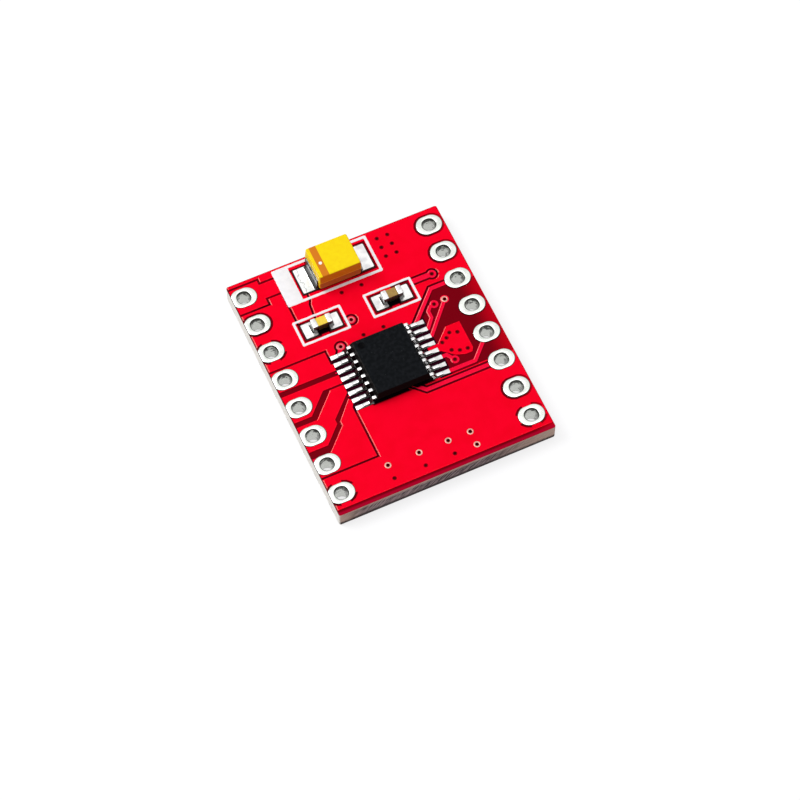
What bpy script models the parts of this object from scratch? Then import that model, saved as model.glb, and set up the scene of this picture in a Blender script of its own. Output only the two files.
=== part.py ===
"""A DC motor driver module: a red two-layer circuit board with two rows of plated header
holes, a sixteen-lead driver chip, a moulded tantalum capacitor and two ceramic chip
capacitors. Lengths are in metres, +Z is up, and the module lies on z = 0.

The plan is laid out about the centre of the header-hole grid, with the tantalum capacitor
at the far end (+Y). A parent empty then moves everything, so that the middle of the
board's outline stands over the origin."""

import math

import bmesh
import bpy
from mathutils import Vector
from mathutils.geometry import delaunay_2d_cdt

MM = 1e-3

# Header holes: the pitch and the row spacing set the scale of everything else.
PIN_PITCH = 2.54e-3
ROW_SPACING = 15.24e-3
PINS_PER_ROW = 8
HOLE_RADIUS = 0.50e-3
BARREL_WALL = 0.05e-3
PAD_LENGTH = 2.10e-3
PAD_WIDTH = 1.60e-3

# Board outline, measured from the hole centres next to each edge.
EDGE_LEFT = 0.88e-3
EDGE_RIGHT = 1.22e-3
EDGE_FAR = 1.37e-3
EDGE_NEAR = 1.61e-3
CORNER_RADIUS = 0.15e-3

# Thicknesses, from the laminate outwards.
CORE = 1.50e-3
COPPER = 0.05e-3
FINISH = 0.03e-3
INK = 0.03e-3
SEAT = 0.01e-3

# Copper pattern.
POUR_MARGIN = 0.06e-3
POUR_MARGIN_NEAR = 0.42e-3
MOAT = 0.16e-3
LAND_OPENING = 0.08e-3
WIDE_OPENING = 0.14e-3
TRACK = 0.32e-3
WIDE_TRACK = 0.42e-3
THIN_TRACK = 0.30e-3
SPOKE = 0.75e-3
MOTOR_GAP = 0.42e-3
MOTOR_LOW_GAP = 0.60e-3
MOTOR_SLANT_GAP = 0.26e-3
MOTOR_MARGIN = 0.86e-3
MOTOR_KNEE = 1.57e-3
MOTOR_DROP = 1.30e-3
MOTOR_JOG = 0.38e-3
MOTOR_SHIFT = 0.48e-3
VIA_RADIUS = 0.14e-3
VIA_RING = 0.34e-3

# Driver chip, its leads and the lands that they stand on.
CHIP_X = -0.06e-3
CHIP_Y = -0.81e-3
CHIP_WIDTH = 4.40e-3
CHIP_END = 0.22e-3
CHIP_HEIGHT = 1.00e-3
CHIP_STANDOFF = 0.10e-3
CHIP_DRAFT = 0.15e-3
DIMPLE_RADIUS = 0.27e-3
DIMPLE_DEPTH = 0.05e-3
DIMPLE_INSET = 0.70e-3
LEADS_PER_SIDE = 8
LEAD_PITCH = 0.65e-3
LEAD_WIDTH = 0.24e-3
LEAD_SHEET = 0.13e-3
LEAD_REACH = 1.00e-3
LEAD_FOOT = 0.52e-3
LEAD_SHOULDER = 0.22e-3
LEAD_ROOT = 0.22e-3
LEAD_BEND = 0.11e-3
LAND_WIDTH = 0.38e-3
LAND_LENGTH = 1.42e-3
LAND_TOE = 0.60e-3
SOLDER_FILM = 0.045e-3
SOLDER_INSET = 0.05e-3
SOLDER_SPREAD = 0.86

# Moulded tantalum capacitor.
TANTALUM_X = -0.52e-3
TANTALUM_LENGTH = 3.46e-3
TANTALUM_WIDTH = 2.84e-3
TANTALUM_HEIGHT = 1.72e-3
TANTALUM_STANDOFF = 0.12e-3
TANTALUM_DRAFT = 0.05e-3
TANTALUM_LOWER_DRAFT = 0.12e-3
TANTALUM_EDGE = 0.06e-3
STRAP_SHEET = 0.10e-3
STRAP_WIDTH = 2.20e-3
STRAP_FOOT = 0.80e-3
STRAP_ROOT = 0.18e-3
STRAP_BEND = 0.08e-3
TANTALUM_LAND_TOE = 1.22e-3
TANTALUM_LAND_WIDTH = 2.30e-3
TANTALUM_SOLDER = 0.60e-3

# Ceramic chip capacitors.
CERAMIC_LEFT_X = -3.30e-3
CERAMIC_RIGHT_X = 2.44e-3
CERAMIC_SHIFT = 0.13e-3
CERAMIC_LENGTH = 1.60e-3
CERAMIC_WIDTH = 0.80e-3
CERAMIC_HEIGHT = 0.80e-3
CERAMIC_EDGE = 0.05e-3
CAP_BAND = 0.42e-3
CAP_WALL = 0.04e-3
CERAMIC_LAND_TOE = 0.74e-3
CERAMIC_LAND_HEEL = 0.36e-3
CERAMIC_LAND_WIDTH = 1.38e-3
CERAMIC_SOLDER = 0.50e-3

# White ink frames.
INK_LINE = 0.24e-3
INK_GAP = 0.17e-3
INK_BODY_GAP = 0.02e-3
INK_TO_EDGE = 0.19e-3
INK_CORNER = 0.12e-3
POLARITY_BAR = 1.28e-3

# Facets: corners in a round outline and steps in a quarter turn.
HOLE_SIDES = 16
VIA_SIDES = 8
RING_SIDES = 16
DIMPLE_SIDES = 14
ARC_STEPS = 3
BEND_STEPS = 2

# What follows from the sizes above.
ROW_HALF_LENGTH = (PINS_PER_ROW - 1) * PIN_PITCH / 2
BOARD_LEFT = -ROW_SPACING / 2 - EDGE_LEFT
BOARD_RIGHT = ROW_SPACING / 2 + EDGE_RIGHT
BOARD_FAR = ROW_HALF_LENGTH + EDGE_FAR
BOARD_NEAR = -ROW_HALF_LENGTH - EDGE_NEAR
FLANGE = COPPER + FINISH - SEAT
CORE_BOTTOM = FLANGE + SEAT
CORE_TOP = CORE_BOTTOM + CORE
MASK_TOP = CORE_TOP + COPPER
MASK_BOTTOM = CORE_BOTTOM - COPPER
LAND_TOP = CORE_TOP + SEAT + FLANGE
BARREL_RADIUS = HOLE_RADIUS + BARREL_WALL
LEAD_ROW = (LEADS_PER_SIDE - 1) * LEAD_PITCH
CHIP_LENGTH = LEAD_ROW + 2 * CHIP_END
CHIP_BASE = MASK_TOP + CHIP_STANDOFF
LEAD_ROOT_Z = CHIP_BASE + CHIP_HEIGHT / 2
LEAD_TIP = CHIP_WIDTH / 2 + LEAD_REACH
LAND_OUTER = LEAD_TIP + LAND_TOE
LAND_INNER = LAND_OUTER - LAND_LENGTH
TANTALUM_FRAME_WIDTH = TANTALUM_WIDTH + 2 * (INK_BODY_GAP + INK_LINE)
TANTALUM_Y = BOARD_FAR - INK_TO_EDGE - TANTALUM_FRAME_WIDTH / 2
STRAP_FACE = TANTALUM_LENGTH / 2 + SEAT + STRAP_SHEET
TANTALUM_LAND_OUTER = TANTALUM_LENGTH / 2 + TANTALUM_LAND_TOE
TANTALUM_LAND_INNER = STRAP_FACE - STRAP_FOOT
TANTALUM_BASE = LAND_TOP + SEAT + STRAP_SHEET + TANTALUM_STANDOFF
CERAMIC_LAND_OUTER = CERAMIC_LENGTH / 2 + CERAMIC_LAND_TOE
CERAMIC_LAND_INNER = CERAMIC_LENGTH / 2 - CERAMIC_LAND_HEEL
CERAMIC_FRAME_LENGTH = 2 * (CERAMIC_LAND_OUTER + INK_GAP + INK_LINE)
CERAMIC_FRAME_WIDTH = CERAMIC_LAND_WIDTH + 2 * (INK_GAP + INK_LINE)
CHIP_LANDS_FAR = CHIP_Y + LEAD_ROW / 2 + LAND_WIDTH / 2
TANTALUM_FRAME_NEAR = TANTALUM_Y - TANTALUM_FRAME_WIDTH / 2
CERAMIC_Y = (CHIP_LANDS_FAR + TANTALUM_FRAME_NEAR) / 2 + CERAMIC_SHIFT
CENTRE = Vector(((BOARD_LEFT + BOARD_RIGHT) / 2, (BOARD_NEAR + BOARD_FAR) / 2, 0))

LEFT, RIGHT = -1, 1
SIDE_NAMES = {LEFT: "left", RIGHT: "right"}


# Materials

def material(name, colour, roughness, metallic=0.0):
    """A Principled material with one colour."""
    made = bpy.data.materials.new(name)
    made.use_nodes = True
    shader = made.node_tree.nodes["Principled BSDF"]
    shader.inputs["Base Color"].default_value = (*colour, 1.0)
    shader.inputs["Roughness"].default_value = roughness
    shader.inputs["Metallic"].default_value = metallic
    made.diffuse_color = (*colour, 1.0)
    return made


def solder_mask():
    """Glossy red lacquer over the copper and the laminate."""
    return material("solder_mask", (0.72, 0.0, 0.02), 0.3)


def tinned_copper():
    """Tin-plated copper of the holes and the lands."""
    return material("tinned_copper", (0.80, 0.80, 0.76), 0.3, 1.0)


def tinned_lead():
    """Tin-plated alloy of the chip's leads, in its solder."""
    return material("tinned_lead", (0.72, 0.72, 0.70), 0.28, 1.0)


def moulding_compound():
    """Near-black epoxy of the driver chip."""
    return material("moulding_compound", (0.012, 0.012, 0.014), 0.55)


def tantalum_case():
    """Golden-yellow epoxy of the tantalum capacitor."""
    return material("tantalum_case", (0.95, 0.62, 0.02), 0.5)


def ceramic(name, colour):
    """Fired dielectric of a chip capacitor."""
    return material(name, colour, 0.5)


def white_ink():
    """Printed legend ink."""
    return material("white_ink", (0.86, 0.86, 0.86), 0.6)


# Outlines in a plane: each is a list of points, counter-clockwise

def rectangle(x0, y0, x1, y1):
    """The four corners of a box between two corners."""
    return [(x0, y0), (x1, y0), (x1, y1), (x0, y1)]


def block(centre, length, width):
    """A rectangle of that size about a centre."""
    x, y = centre
    return rectangle(x - length / 2, y - width / 2, x + length / 2, y + width / 2)


def ring(centre, radius, sides):
    """A regular polygon with its corners on a circle."""
    x, y = centre
    turns = [2 * math.pi * (i + 0.5) / sides for i in range(sides)]
    return [(x + radius * math.cos(t), y + radius * math.sin(t)) for t in turns]


def oval(centre, length, width):
    """A round-ended outline, longer along X, with as many corners as a hole."""
    x, y = centre
    reach = max(length - width, 0.0) / 2
    round_end = ring((0.0, 0.0), width / 2, HOLE_SIDES)
    return [(x + px + math.copysign(reach, px), y + py) for px, py in round_end]


def rounded(x0, y0, x1, y1, radius):
    """A rectangle with round corners."""
    corners = [(x1, y0), (x1, y1), (x0, y1), (x0, y0)]
    points = []
    for turn, (x, y) in enumerate(corners):
        mx = x - math.copysign(radius, x - (x0 + x1) / 2)
        my = y - math.copysign(radius, y - (y0 + y1) / 2)
        for step in range(ARC_STEPS + 1):
            angle = math.pi / 2 * (turn - 1 + step / ARC_STEPS)
            points.append((mx + radius * math.cos(angle), my + radius * math.sin(angle)))
    return points


def mitred(before, here, after, distance):
    """The corner here, moved to the right of the way that it is passed."""
    sides = []
    for start, end in ((before, here), (here, after)):
        along = (Vector(end) - Vector(start)).normalized()
        sides.append(Vector((along.y, -along.x)))
    return tuple(Vector(here) + (sides[0] + sides[1]) * distance / (1 + sides[0].dot(sides[1])))


def grown(outline, distance):
    """The outline moved outwards by a distance, with its corners kept sharp."""
    around = zip(outline[-1:] + outline[:-1], outline, outline[1:] + outline[:1])
    return [mitred(before, here, after, distance) for before, here, after in around]


def straight_end(end, next_to_it):
    """A point beyond an open end, on the line of its last stretch."""
    return tuple(2 * Vector(end) - Vector(next_to_it))


def strip(points, width):
    """The outline of a strip of one width that runs along the points."""
    longer = [straight_end(points[0], points[1]), *points, straight_end(points[-1], points[-2])]
    walk = list(zip(longer, longer[1:], longer[2:]))
    right = [mitred(*three, width / 2) for three in walk]
    left = [mitred(*three, -width / 2) for three in walk]
    return right + left[::-1]


def bent(points, radius):
    """The points of an open line, with each inner corner turned into an arc."""
    line = [points[0]]
    for before, here, after in zip(points, points[1:], points[2:]):
        corner = Vector(here)
        enter = (Vector(before) - corner).normalized()
        leave = (Vector(after) - corner).normalized()
        half_angle = enter.angle(leave) / 2
        centre = corner + (enter + leave).normalized() * radius / math.sin(half_angle)
        start = corner + enter * radius / math.tan(half_angle) - centre
        turn = enter.angle_signed(leave)
        sweep = math.copysign(math.pi - abs(turn), turn)
        for step in range(BEND_STEPS + 1):
            angle = sweep * step / BEND_STEPS
            cos, sin = math.cos(angle), math.sin(angle)
            arm = (start.x * cos - start.y * sin, start.x * sin + start.y * cos)
            line.append((centre.x + arm[0], centre.y + arm[1]))
    return line + [points[-1]]


def inside(point, outline):
    """Whether a point is within an outline."""
    x, y = point
    crossings = 0
    for (x0, y0), (x1, y1) in zip(outline, outline[1:] + outline[:1]):
        if (y0 > y) != (y1 > y) and x < x0 + (y - y0) * (x1 - x0) / (y1 - y0):
            crossings += 1
    return crossings % 2 == 1


def in_any(point, outlines):
    """Whether a point is within at least one of the outlines."""
    return any(inside(point, outline) for outline in outlines)


# Solids

def upright(u, v, w):
    """Places an outline in the plan, at a height."""
    return u, v, w


def sideways(u, v, w):
    """Places a side view that looks along Y, at a depth."""
    return u, w, v


def loft(sections, place=upright):
    """A closed mesh through outlines with as many points each: (outline, height) pairs."""
    work = bmesh.new()
    rings = [[work.verts.new(place(u, v, w)) for u, v in outline] for outline, w in sections]
    for lower, upper in zip(rings, rings[1:]):
        for a, b, c, d in zip(lower, lower[1:] + lower[:1], upper[1:] + upper[:1], upper):
            work.faces.new((a, b, c, d))
    work.faces.new(rings[0])
    work.faces.new(rings[-1])
    return work


def tube(sections):
    """A closed ring-shaped mesh: its section runs through the outlines and back."""
    work = bmesh.new()
    rings = [[work.verts.new((x, y, z)) for x, y in outline] for outline, z in sections]
    for lower, upper in zip(rings, rings[1:] + rings[:1]):
        for a, b, c, d in zip(lower, lower[1:] + lower[:1], upper[1:] + upper[:1], upper):
            work.faces.new((a, b, c, d))
    return work


def finished(work, name):
    """The mesh of a bmesh, with its faces turned outwards."""
    bmesh.ops.recalc_face_normals(work, faces=work.faces)
    mesh = bpy.data.meshes.new(name)
    work.to_mesh(mesh)
    work.free()
    return mesh


def placed(name, mesh, parent, location=(0, 0, 0), turn=0.0):
    """An object of that mesh, under its parent."""
    made = bpy.data.objects.new(name, mesh)
    bpy.context.scene.collection.objects.link(made)
    made.parent = parent
    made.location = location
    made.rotation_euler = (0, 0, turn)
    return made


def dressed(made, finish):
    """The object with its one material."""
    made.data.materials.clear()
    made.data.materials.append(finish)
    return made


def beveled(made, width, segments):
    """Rounds the edges between faces that meet at more than 30 degrees."""
    bevel = made.modifiers.new("rounded_edges", "BEVEL")
    bevel.width = width
    bevel.segments = segments
    bevel.limit_method = "ANGLE"
    bevel.angle_limit = math.radians(30)
    return made


def combined(made, tool, operation):
    """Joins a tool to an object, or cuts it away. The tool itself isn't rendered."""
    step = made.modifiers.new(tool.name, "BOOLEAN")
    step.operation = operation
    step.object = tool
    tool.hide_render = True
    tool.display_type = "WIRE"
    return made


def box_work(x0, x1, y0, y1, z0, z1):
    """A box as a bmesh."""
    return loft([(rectangle(x0, y0, x1, y1), z) for z in (z0, z1)])


def gathered(works):
    """Several bmeshes as one, for a cutter with separate parts."""
    whole = bmesh.new()
    for work in works:
        bmesh.ops.recalc_face_normals(work, faces=work.faces)
        copy_of = {v: whole.verts.new(v.co) for v in work.verts}
        for face in work.faces:
            whole.faces.new([copy_of[v] for v in face.verts])
        work.free()
    return whole


# Where things are in the plan

def pad_at(side, number):
    """Centre of a header hole: the number counts from the far end of its row."""
    return side * ROW_SPACING / 2, ROW_HALF_LENGTH - (number - 1) * PIN_PITCH


def land_at(side, number, reach=(LAND_INNER + LAND_OUTER) / 2):
    """A point on the line of a chip lead, at a reach from the chip's middle."""
    return CHIP_X + side * reach, CHIP_Y + LEAD_ROW / 2 - (number - 1) * LEAD_PITCH


def beside(point, dx, dy):
    """A point that many metres from another."""
    return point[0] + dx, point[1] + dy


PADS = [(side, n) for side in (LEFT, RIGHT) for n in range(1, PINS_PER_ROW + 1)]
CHIP_LEADS = [(side, n) for side in (LEFT, RIGHT) for n in range(1, LEADS_PER_SIDE + 1)]
GROUND_PADS = [(LEFT, 3), (LEFT, PINS_PER_ROW), (RIGHT, PINS_PER_ROW)]
FREE_PADS = [(LEFT, 2), (RIGHT, 1), (RIGHT, 2), (RIGHT, PINS_PER_ROW - 1)]
CERAMICS = {"left": CERAMIC_LEFT_X, "right": CERAMIC_RIGHT_X}

# Vias that end a track, each placed from the land or the capacitor that it serves.
SLEEP_VIA = beside(land_at(LEFT, 1), 0.40 * MM, 0.63 * MM)
PUMP_VIA = (CERAMIC_LEFT_X + 2.20 * MM, CERAMIC_Y - 0.46 * MM)
LOGIC_VIA = (CERAMIC_RIGHT_X + 3.57 * MM, CERAMIC_Y + 0.62 * MM)
INPUT_VIA = beside(land_at(RIGHT, 2), 2.03 * MM, 1.68 * MM)
FAULT_VIA = beside(land_at(RIGHT, 3), 2.93 * MM, 2.40 * MM)
CHARGE_VIA = beside(land_at(RIGHT, 6), 1.46 * MM, -0.60 * MM)


def grid(start, step, columns, rows):
    """Points on a grid that starts at its near left corner."""
    return [beside(start, i * step[0], j * step[1]) for i in range(columns) for j in range(rows)]


def stitching_vias():
    """Vias that tie the two ground pours together, placed from their neighbours."""
    far_start = (TANTALUM_X + 4.05 * MM, TANTALUM_Y - 0.64 * MM)
    far = grid(far_start, (0.87 * MM, 0.84 * MM), 2, 3)
    middle_start = (CHIP_X - 0.73 * MM, CHIP_LANDS_FAR + 0.65 * MM)
    middle = grid(middle_start, (1.62 * MM, CERAMIC_Y - CHIP_LANDS_FAR + 1.30 * MM), 2, 2)
    near_rows = (BOARD_NEAR + 1.09 * MM, BOARD_NEAR + 2.24 * MM)
    near = [(x * MM, y) for x in (-3.64, -1.15, 1.18, 2.96) for y in near_rows]
    return far + middle + near


def supply_vias():
    """Vias around the free sides of the supply island, from the outer end of its land."""
    corner = land_at(RIGHT, 5, LAND_OUTER)
    around = [(0.50, 0.42), (0.95, 0.65), (1.33, 0.97), (1.90, 0.77),
              (0.86, -0.43), (1.42, -0.69), (2.02, -0.78)]
    return [beside(corner, dx * MM, dy * MM) for dx, dy in around]


# Copper nets on the chip's face of the board

def motor_nets():
    """The four motor outputs: broad areas from the left pads to the chip's lands."""
    edge = BOARD_LEFT + POUR_MARGIN
    stop = CHIP_X - LAND_OUTER - SEAT
    half = LAND_WIDTH / 2
    knee = stop - MOTOR_KNEE
    row = [0.0] + [land_at(LEFT, n)[1] for n in range(1, LEADS_PER_SIDE + 1)]
    pad = [0.0] + [pad_at(LEFT, n)[1] for n in range(1, PINS_PER_ROW + 1)]

    def down_left(point, drop):
        """The end of a slanted edge that comes down from a point."""
        return beside(point, -drop, -drop)

    first_top = pad[4] + MOTOR_MARGIN
    first_low = (pad[4] + pad[5]) / 2 + MOTOR_GAP
    second_top = first_low - MOTOR_GAP
    second_low = (pad[5] + pad[6]) / 2 + MOTOR_GAP / 2
    third_top = second_low - MOTOR_GAP
    third_low = (pad[6] + pad[7]) / 2 + MOTOR_GAP / 4
    fourth_top = third_low - MOTOR_LOW_GAP
    fourth_low = pad[7] - MOTOR_MARGIN
    waist = (row[4] + row[5]) / 2 + MOAT / 2
    third_knee = (knee - MOAT, row[6] - half - MOTOR_DROP)
    fourth_knee = beside(third_knee, MOTOR_SLANT_GAP, -MOTOR_SLANT_GAP)

    first = [(edge, first_low), (stop, first_low), (stop, row[2] + half),
             (stop - MOAT, row[2] + half), (stop - MOAT, first_top), (edge, first_top)]
    second = [(edge, second_low), down_left((knee, waist), waist - second_low), (knee, waist),
              (stop, waist), (stop, second_top), (edge, second_top)]
    third_jog = beside(third_knee, 0, -MOTOR_JOG)
    fourth_jog = beside(fourth_knee, 0, -MOTOR_JOG)
    upper_knee = (knee + MOTOR_SHIFT, waist - MOAT)
    third = [(edge, third_low), down_left(third_jog, third_jog[1] - third_low),
             third_jog, third_knee, (stop, row[6] + half), (stop, upper_knee[1]), upper_knee,
             down_left(upper_knee, upper_knee[1] - third_top), (edge, third_top)]
    fourth = [(edge, fourth_low), (stop - MOAT, fourth_low), (stop - MOAT, row[8] + half),
              (stop, row[7] - half), (stop, row[7] + half), (stop - MOAT, row[7] + half + MOAT),
              fourth_knee, fourth_jog, down_left(fourth_jog, fourth_jog[1] - fourth_top),
              (edge, fourth_top)]
    return [first, second, third, fourth]


def supply_nets():
    """The motor supply: from the first left hole under the tantalum to the left ceramic."""
    edge = BOARD_LEFT + POUR_MARGIN
    pad = pad_at(LEFT, 1)
    neck = pad[0] + 1.46 * MM
    land = TANTALUM_X - TANTALUM_LAND_INNER
    left = CERAMIC_LEFT_X - CERAMIC_LAND_OUTER + 0.05 * MM
    right = CERAMIC_LEFT_X - 0.25 * MM
    wider = right + 0.10 * MM
    widest = right + 0.28 * MM
    entry = rectangle(edge, pad[1] - 1.25 * MM, neck, pad[1] + 0.93 * MM)
    bridge = rectangle(neck - POUR_MARGIN, pad[1] - 0.70 * MM, land, pad[1] + 0.55 * MM)
    down = [(left, CERAMIC_Y), (right, CERAMIC_Y), (right, CERAMIC_Y + 1.1 * MM),
            (wider, TANTALUM_FRAME_NEAR - 0.36 * MM), (widest, TANTALUM_FRAME_NEAR),
            (widest, TANTALUM_Y), (left, TANTALUM_Y)]
    return [entry, bridge, down]


def signal_nets():
    """Tracks on the right, each from its land to a hole or a via."""
    def out(number, extra=0.05 * MM):
        """A point just outside the outer end of a right land."""
        return land_at(RIGHT, number, LAND_OUTER + extra)

    land_one = land_at(RIGHT, 1)
    sleep_pad = pad_at(RIGHT, 3)
    drop = sleep_pad[1] - land_one[1]
    input_bend = [beside(INPUT_VIA, dx * MM, dy * MM) for dx, dy in ((-0.38, -0.07), (-0.66, -0.37), (-0.66, -0.95))]
    output_pad = pad_at(RIGHT, 5)
    lead_eight = land_at(RIGHT, LEADS_PER_SIDE)
    slant = output_pad[1] - lead_eight[1]
    low_pad = pad_at(RIGHT, 6)
    under_chip = (CHIP_X + 1.6 * MM, low_pad[1])
    return [
        strip([sleep_pad, (land_one[0] + drop, sleep_pad[1]), land_one], TRACK),
        strip([(CERAMIC_RIGHT_X + CERAMIC_LAND_INNER, LOGIC_VIA[1]), LOGIC_VIA], WIDE_TRACK),
        strip([INPUT_VIA, *input_bend, out(2), land_at(RIGHT, 2)], THIN_TRACK),
        strip([FAULT_VIA, out(3), land_at(RIGHT, 3)], THIN_TRACK),
        strip([CHARGE_VIA, beside(out(6), 0.3 * MM, 0), land_at(RIGHT, 6)], THIN_TRACK),
        strip([output_pad, (output_pad[0] - slant, lead_eight[1]), lead_eight], TRACK),
        strip([low_pad, under_chip, beside(under_chip, -0.8 * MM, 0.8 * MM)], TRACK),
        strip([land_at(LEFT, 1), SLEEP_VIA], THIN_TRACK),
        supply_island(),
    ]


def supply_island():
    """The copper area that joins the fourth and fifth right lands."""
    stub = 0.12 * MM
    four = land_at(RIGHT, 4, LAND_OUTER + stub)
    five = land_at(RIGHT, 5, LAND_OUTER + stub)
    half = LAND_WIDTH / 2
    land = land_at(RIGHT, 4)[0]
    return [(land, five[1] - half), beside(five, 0, -half), beside(five, 0.84 * MM, -0.92 * MM),
            beside(five, 1.55 * MM, -1.17 * MM), beside(five, 2.10 * MM, -1.17 * MM),
            beside(five, 2.30 * MM, -0.85 * MM), beside(four, 2.30 * MM, 0.90 * MM),
            beside(four, 1.13 * MM, 0.90 * MM), beside(four, 0, -half), (land, four[1] + half)]


def spokes(centre):
    """The cross of copper that ties a ground hole to the pour around it."""
    reach = 2 * MOAT
    return [block(centre, PAD_LENGTH + reach, SPOKE), block(centre, SPOKE, PAD_WIDTH + reach)]


def bare_areas():
    """The places without copper: between the motor outputs, between the chip's lands and on the right."""
    motor_far, motor_near = pad_at(LEFT, 4)[1] + MOTOR_MARGIN, pad_at(LEFT, 7)[1] - MOTOR_MARGIN
    motors = rectangle(BOARD_LEFT, motor_near, CHIP_X - LAND_OUTER - MOAT, motor_far)
    lead_rows = [block((CHIP_X + side * (LAND_INNER + LAND_OUTER) / 2, CHIP_Y), LAND_LENGTH,
                       LEAD_ROW + LAND_WIDTH) for side in (LEFT, RIGHT)]
    return [motors, *lead_rows, signal_area()]


def signal_area():
    """The right-hand area without copper, between the pads' row and the chip."""
    inner = CHIP_X + LAND_INNER - MOAT
    far_pad, near_pad = pad_at(RIGHT, 3), pad_at(RIGHT, 6)
    land, far = land_at(RIGHT, 1), CHIP_LANDS_FAR + 0.05 * MM
    edge = BOARD_RIGHT
    return [(inner, CHIP_Y - LEAD_ROW / 2 - LAND_WIDTH / 2), (edge, near_pad[1] + 0.36 * MM),
            (edge, far_pad[1] - 0.36 * MM), (far_pad[0] - 2.2 * MM, far_pad[1]),
            (land[0] + far - land[1], far), (inner, far)]


def copper_nets():
    """Every net but the ground pour."""
    vias = [SLEEP_VIA, PUMP_VIA, LOGIC_VIA, INPUT_VIA, FAULT_VIA, CHARGE_VIA]
    return motor_nets() + supply_nets() + signal_nets() + [ring(v, VIA_RING, RING_SIDES) for v in vias]


def pad_oval(side, number, extra=0.0):
    """The outline of a header hole's land, grown by an extra width."""
    return oval(pad_at(side, number), PAD_LENGTH + 2 * extra, PAD_WIDTH + 2 * extra)


def chip_land(side, number):
    """The outline of the land under one chip lead."""
    return block(land_at(side, number), LAND_LENGTH, LAND_WIDTH)


def capacitor_lands():
    """The outlines of the lands under the three capacitors."""
    lands = []
    sizes = [(TANTALUM_X, TANTALUM_Y, TANTALUM_LAND_INNER, TANTALUM_LAND_OUTER, TANTALUM_LAND_WIDTH)]
    for x in CERAMICS.values():
        sizes.append((x, CERAMIC_Y, CERAMIC_LAND_INNER, CERAMIC_LAND_OUTER, CERAMIC_LAND_WIDTH))
    for x, y, inner, outer, width in sizes:
        for side in (LEFT, RIGHT):
            lands.append(block((x + side * (inner + outer) / 2, y), outer - inner, width))
    return lands


class CopperPattern:
    """Which points of the board carry copper, on the chip's face and on the back."""

    def __init__(self):
        self.outline = rounded(BOARD_LEFT, BOARD_NEAR, BOARD_RIGHT, BOARD_FAR, CORNER_RADIUS)
        self.pour = rectangle(BOARD_LEFT + POUR_MARGIN, BOARD_NEAR + POUR_MARGIN_NEAR,
                              BOARD_RIGHT - POUR_MARGIN, BOARD_FAR - POUR_MARGIN)
        self.holes = [ring(pad_at(*pad), BARREL_RADIUS + SEAT, HOLE_SIDES) for pad in PADS]
        self.pad_pockets = [pad_oval(*pad, SEAT) for pad in PADS]
        self.land_pockets = [grown(chip_land(*lead), SEAT) for lead in CHIP_LEADS]
        wide = [WIDE_OPENING] * 5
        self.land_pockets += [grown(land, gap) for land, gap in zip(capacitor_lands(), [LAND_OPENING, *wide])]
        vias = [SLEEP_VIA, PUMP_VIA, LOGIC_VIA, INPUT_VIA, FAULT_VIA, CHARGE_VIA]
        vias += stitching_vias() + supply_vias()
        self.dimples = [ring(via, VIA_RADIUS, VIA_SIDES) for via in vias]
        self.nets = copper_nets()
        self.pad_moats = [pad_oval(*pad, MOAT) for pad in FREE_PADS + GROUND_PADS]
        self.back_moats = [pad_oval(*pad, MOAT) for pad in PADS if pad not in GROUND_PADS]
        self.moats = [grown(net, MOAT) for net in self.nets] + bare_areas()
        for pad in GROUND_PADS:
            self.nets += spokes(pad_at(*pad))

    def outlines(self):
        """Every outline that the two faces of the board are drawn with."""
        return [self.outline, self.pour, *self.holes, *self.pad_pockets, *self.land_pockets,
                *self.dimples, *self.nets, *self.pad_moats, *self.back_moats, *self.moats]

    def solid(self, point):
        """Whether the laminate is there."""
        return inside(point, self.outline) and not in_any(point, self.holes)

    def front(self, point):
        """Whether the chip's face stands proud at a point, over copper."""
        if in_any(point, self.pad_pockets) or in_any(point, self.land_pockets):
            return False
        if in_any(point, self.dimples) or not inside(point, self.pour):
            return False
        return in_any(point, self.nets) or not in_any(point, self.moats + self.pad_moats)

    def back(self, point):
        """Whether the back stands proud at a point, over its own pour."""
        cut = in_any(point, self.pad_pockets) or in_any(point, self.back_moats)
        return inside(point, self.pour) and not cut

    def kind(self, point):
        """What a point of the plan is: nothing, or laminate with copper on either face."""
        return (self.front(point), self.back(point)) if self.solid(point) else None


def triangulated(loops, links):
    """Points and triangles of the plan, with every given edge kept."""
    points, edges = [], list(links)
    for loop in loops:
        first = len(points)
        points += [Vector(p) / MM for p in loop]
        edges += [(first + i, first + (i + 1) % len(loop)) for i in range(len(loop))]
    found = delaunay_2d_cdt(points, edges, [], 0, 1e-5)
    return [tuple(v * MM) for v in found[0]], found[2]


def middle(points, face):
    """The centre of a triangle."""
    return tuple(sum(points[i][axis] for i in face) / len(face) for axis in (0, 1))


def shared_edges(faces):
    """The faces on either side of each edge, by the edge's two points."""
    sides = {}
    for index, face in enumerate(faces):
        for a, b in zip(face, face[1:] + face[:1]):
            sides.setdefault(frozenset((a, b)), []).append(index)
    return sides


def needed_edges(points, faces, kinds):
    """The edges between unlike faces, with straight runs of them taken together."""
    border = []
    for edge, beside_it in shared_edges(faces).items():
        seen = {kinds[i] for i in beside_it}
        if len(seen) > 1 or (len(beside_it) == 1 and seen != {None}):
            border.append(tuple(edge))
    near = {}
    for a, b in border:
        near.setdefault(a, []).append(b)
        near.setdefault(b, []).append(a)
    straight = {v for v, ends in near.items() if len(ends) == 2 and in_line(points, ends[0], v, ends[1])}
    kept = []
    for corner in near:
        if corner in straight:
            continue
        for step in near[corner]:
            last, here = corner, step
            while here in straight:
                last, here = here, sum(near[here]) - last
            if corner < here:
                kept.append((corner, here))
    return kept


def in_line(points, before, here, after):
    """Whether three points lie on one straight line."""
    one = Vector(points[here]) - Vector(points[before])
    two = Vector(points[after]) - Vector(points[here])
    return abs(one.normalized().cross(two.normalized())) < 1e-4


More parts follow.
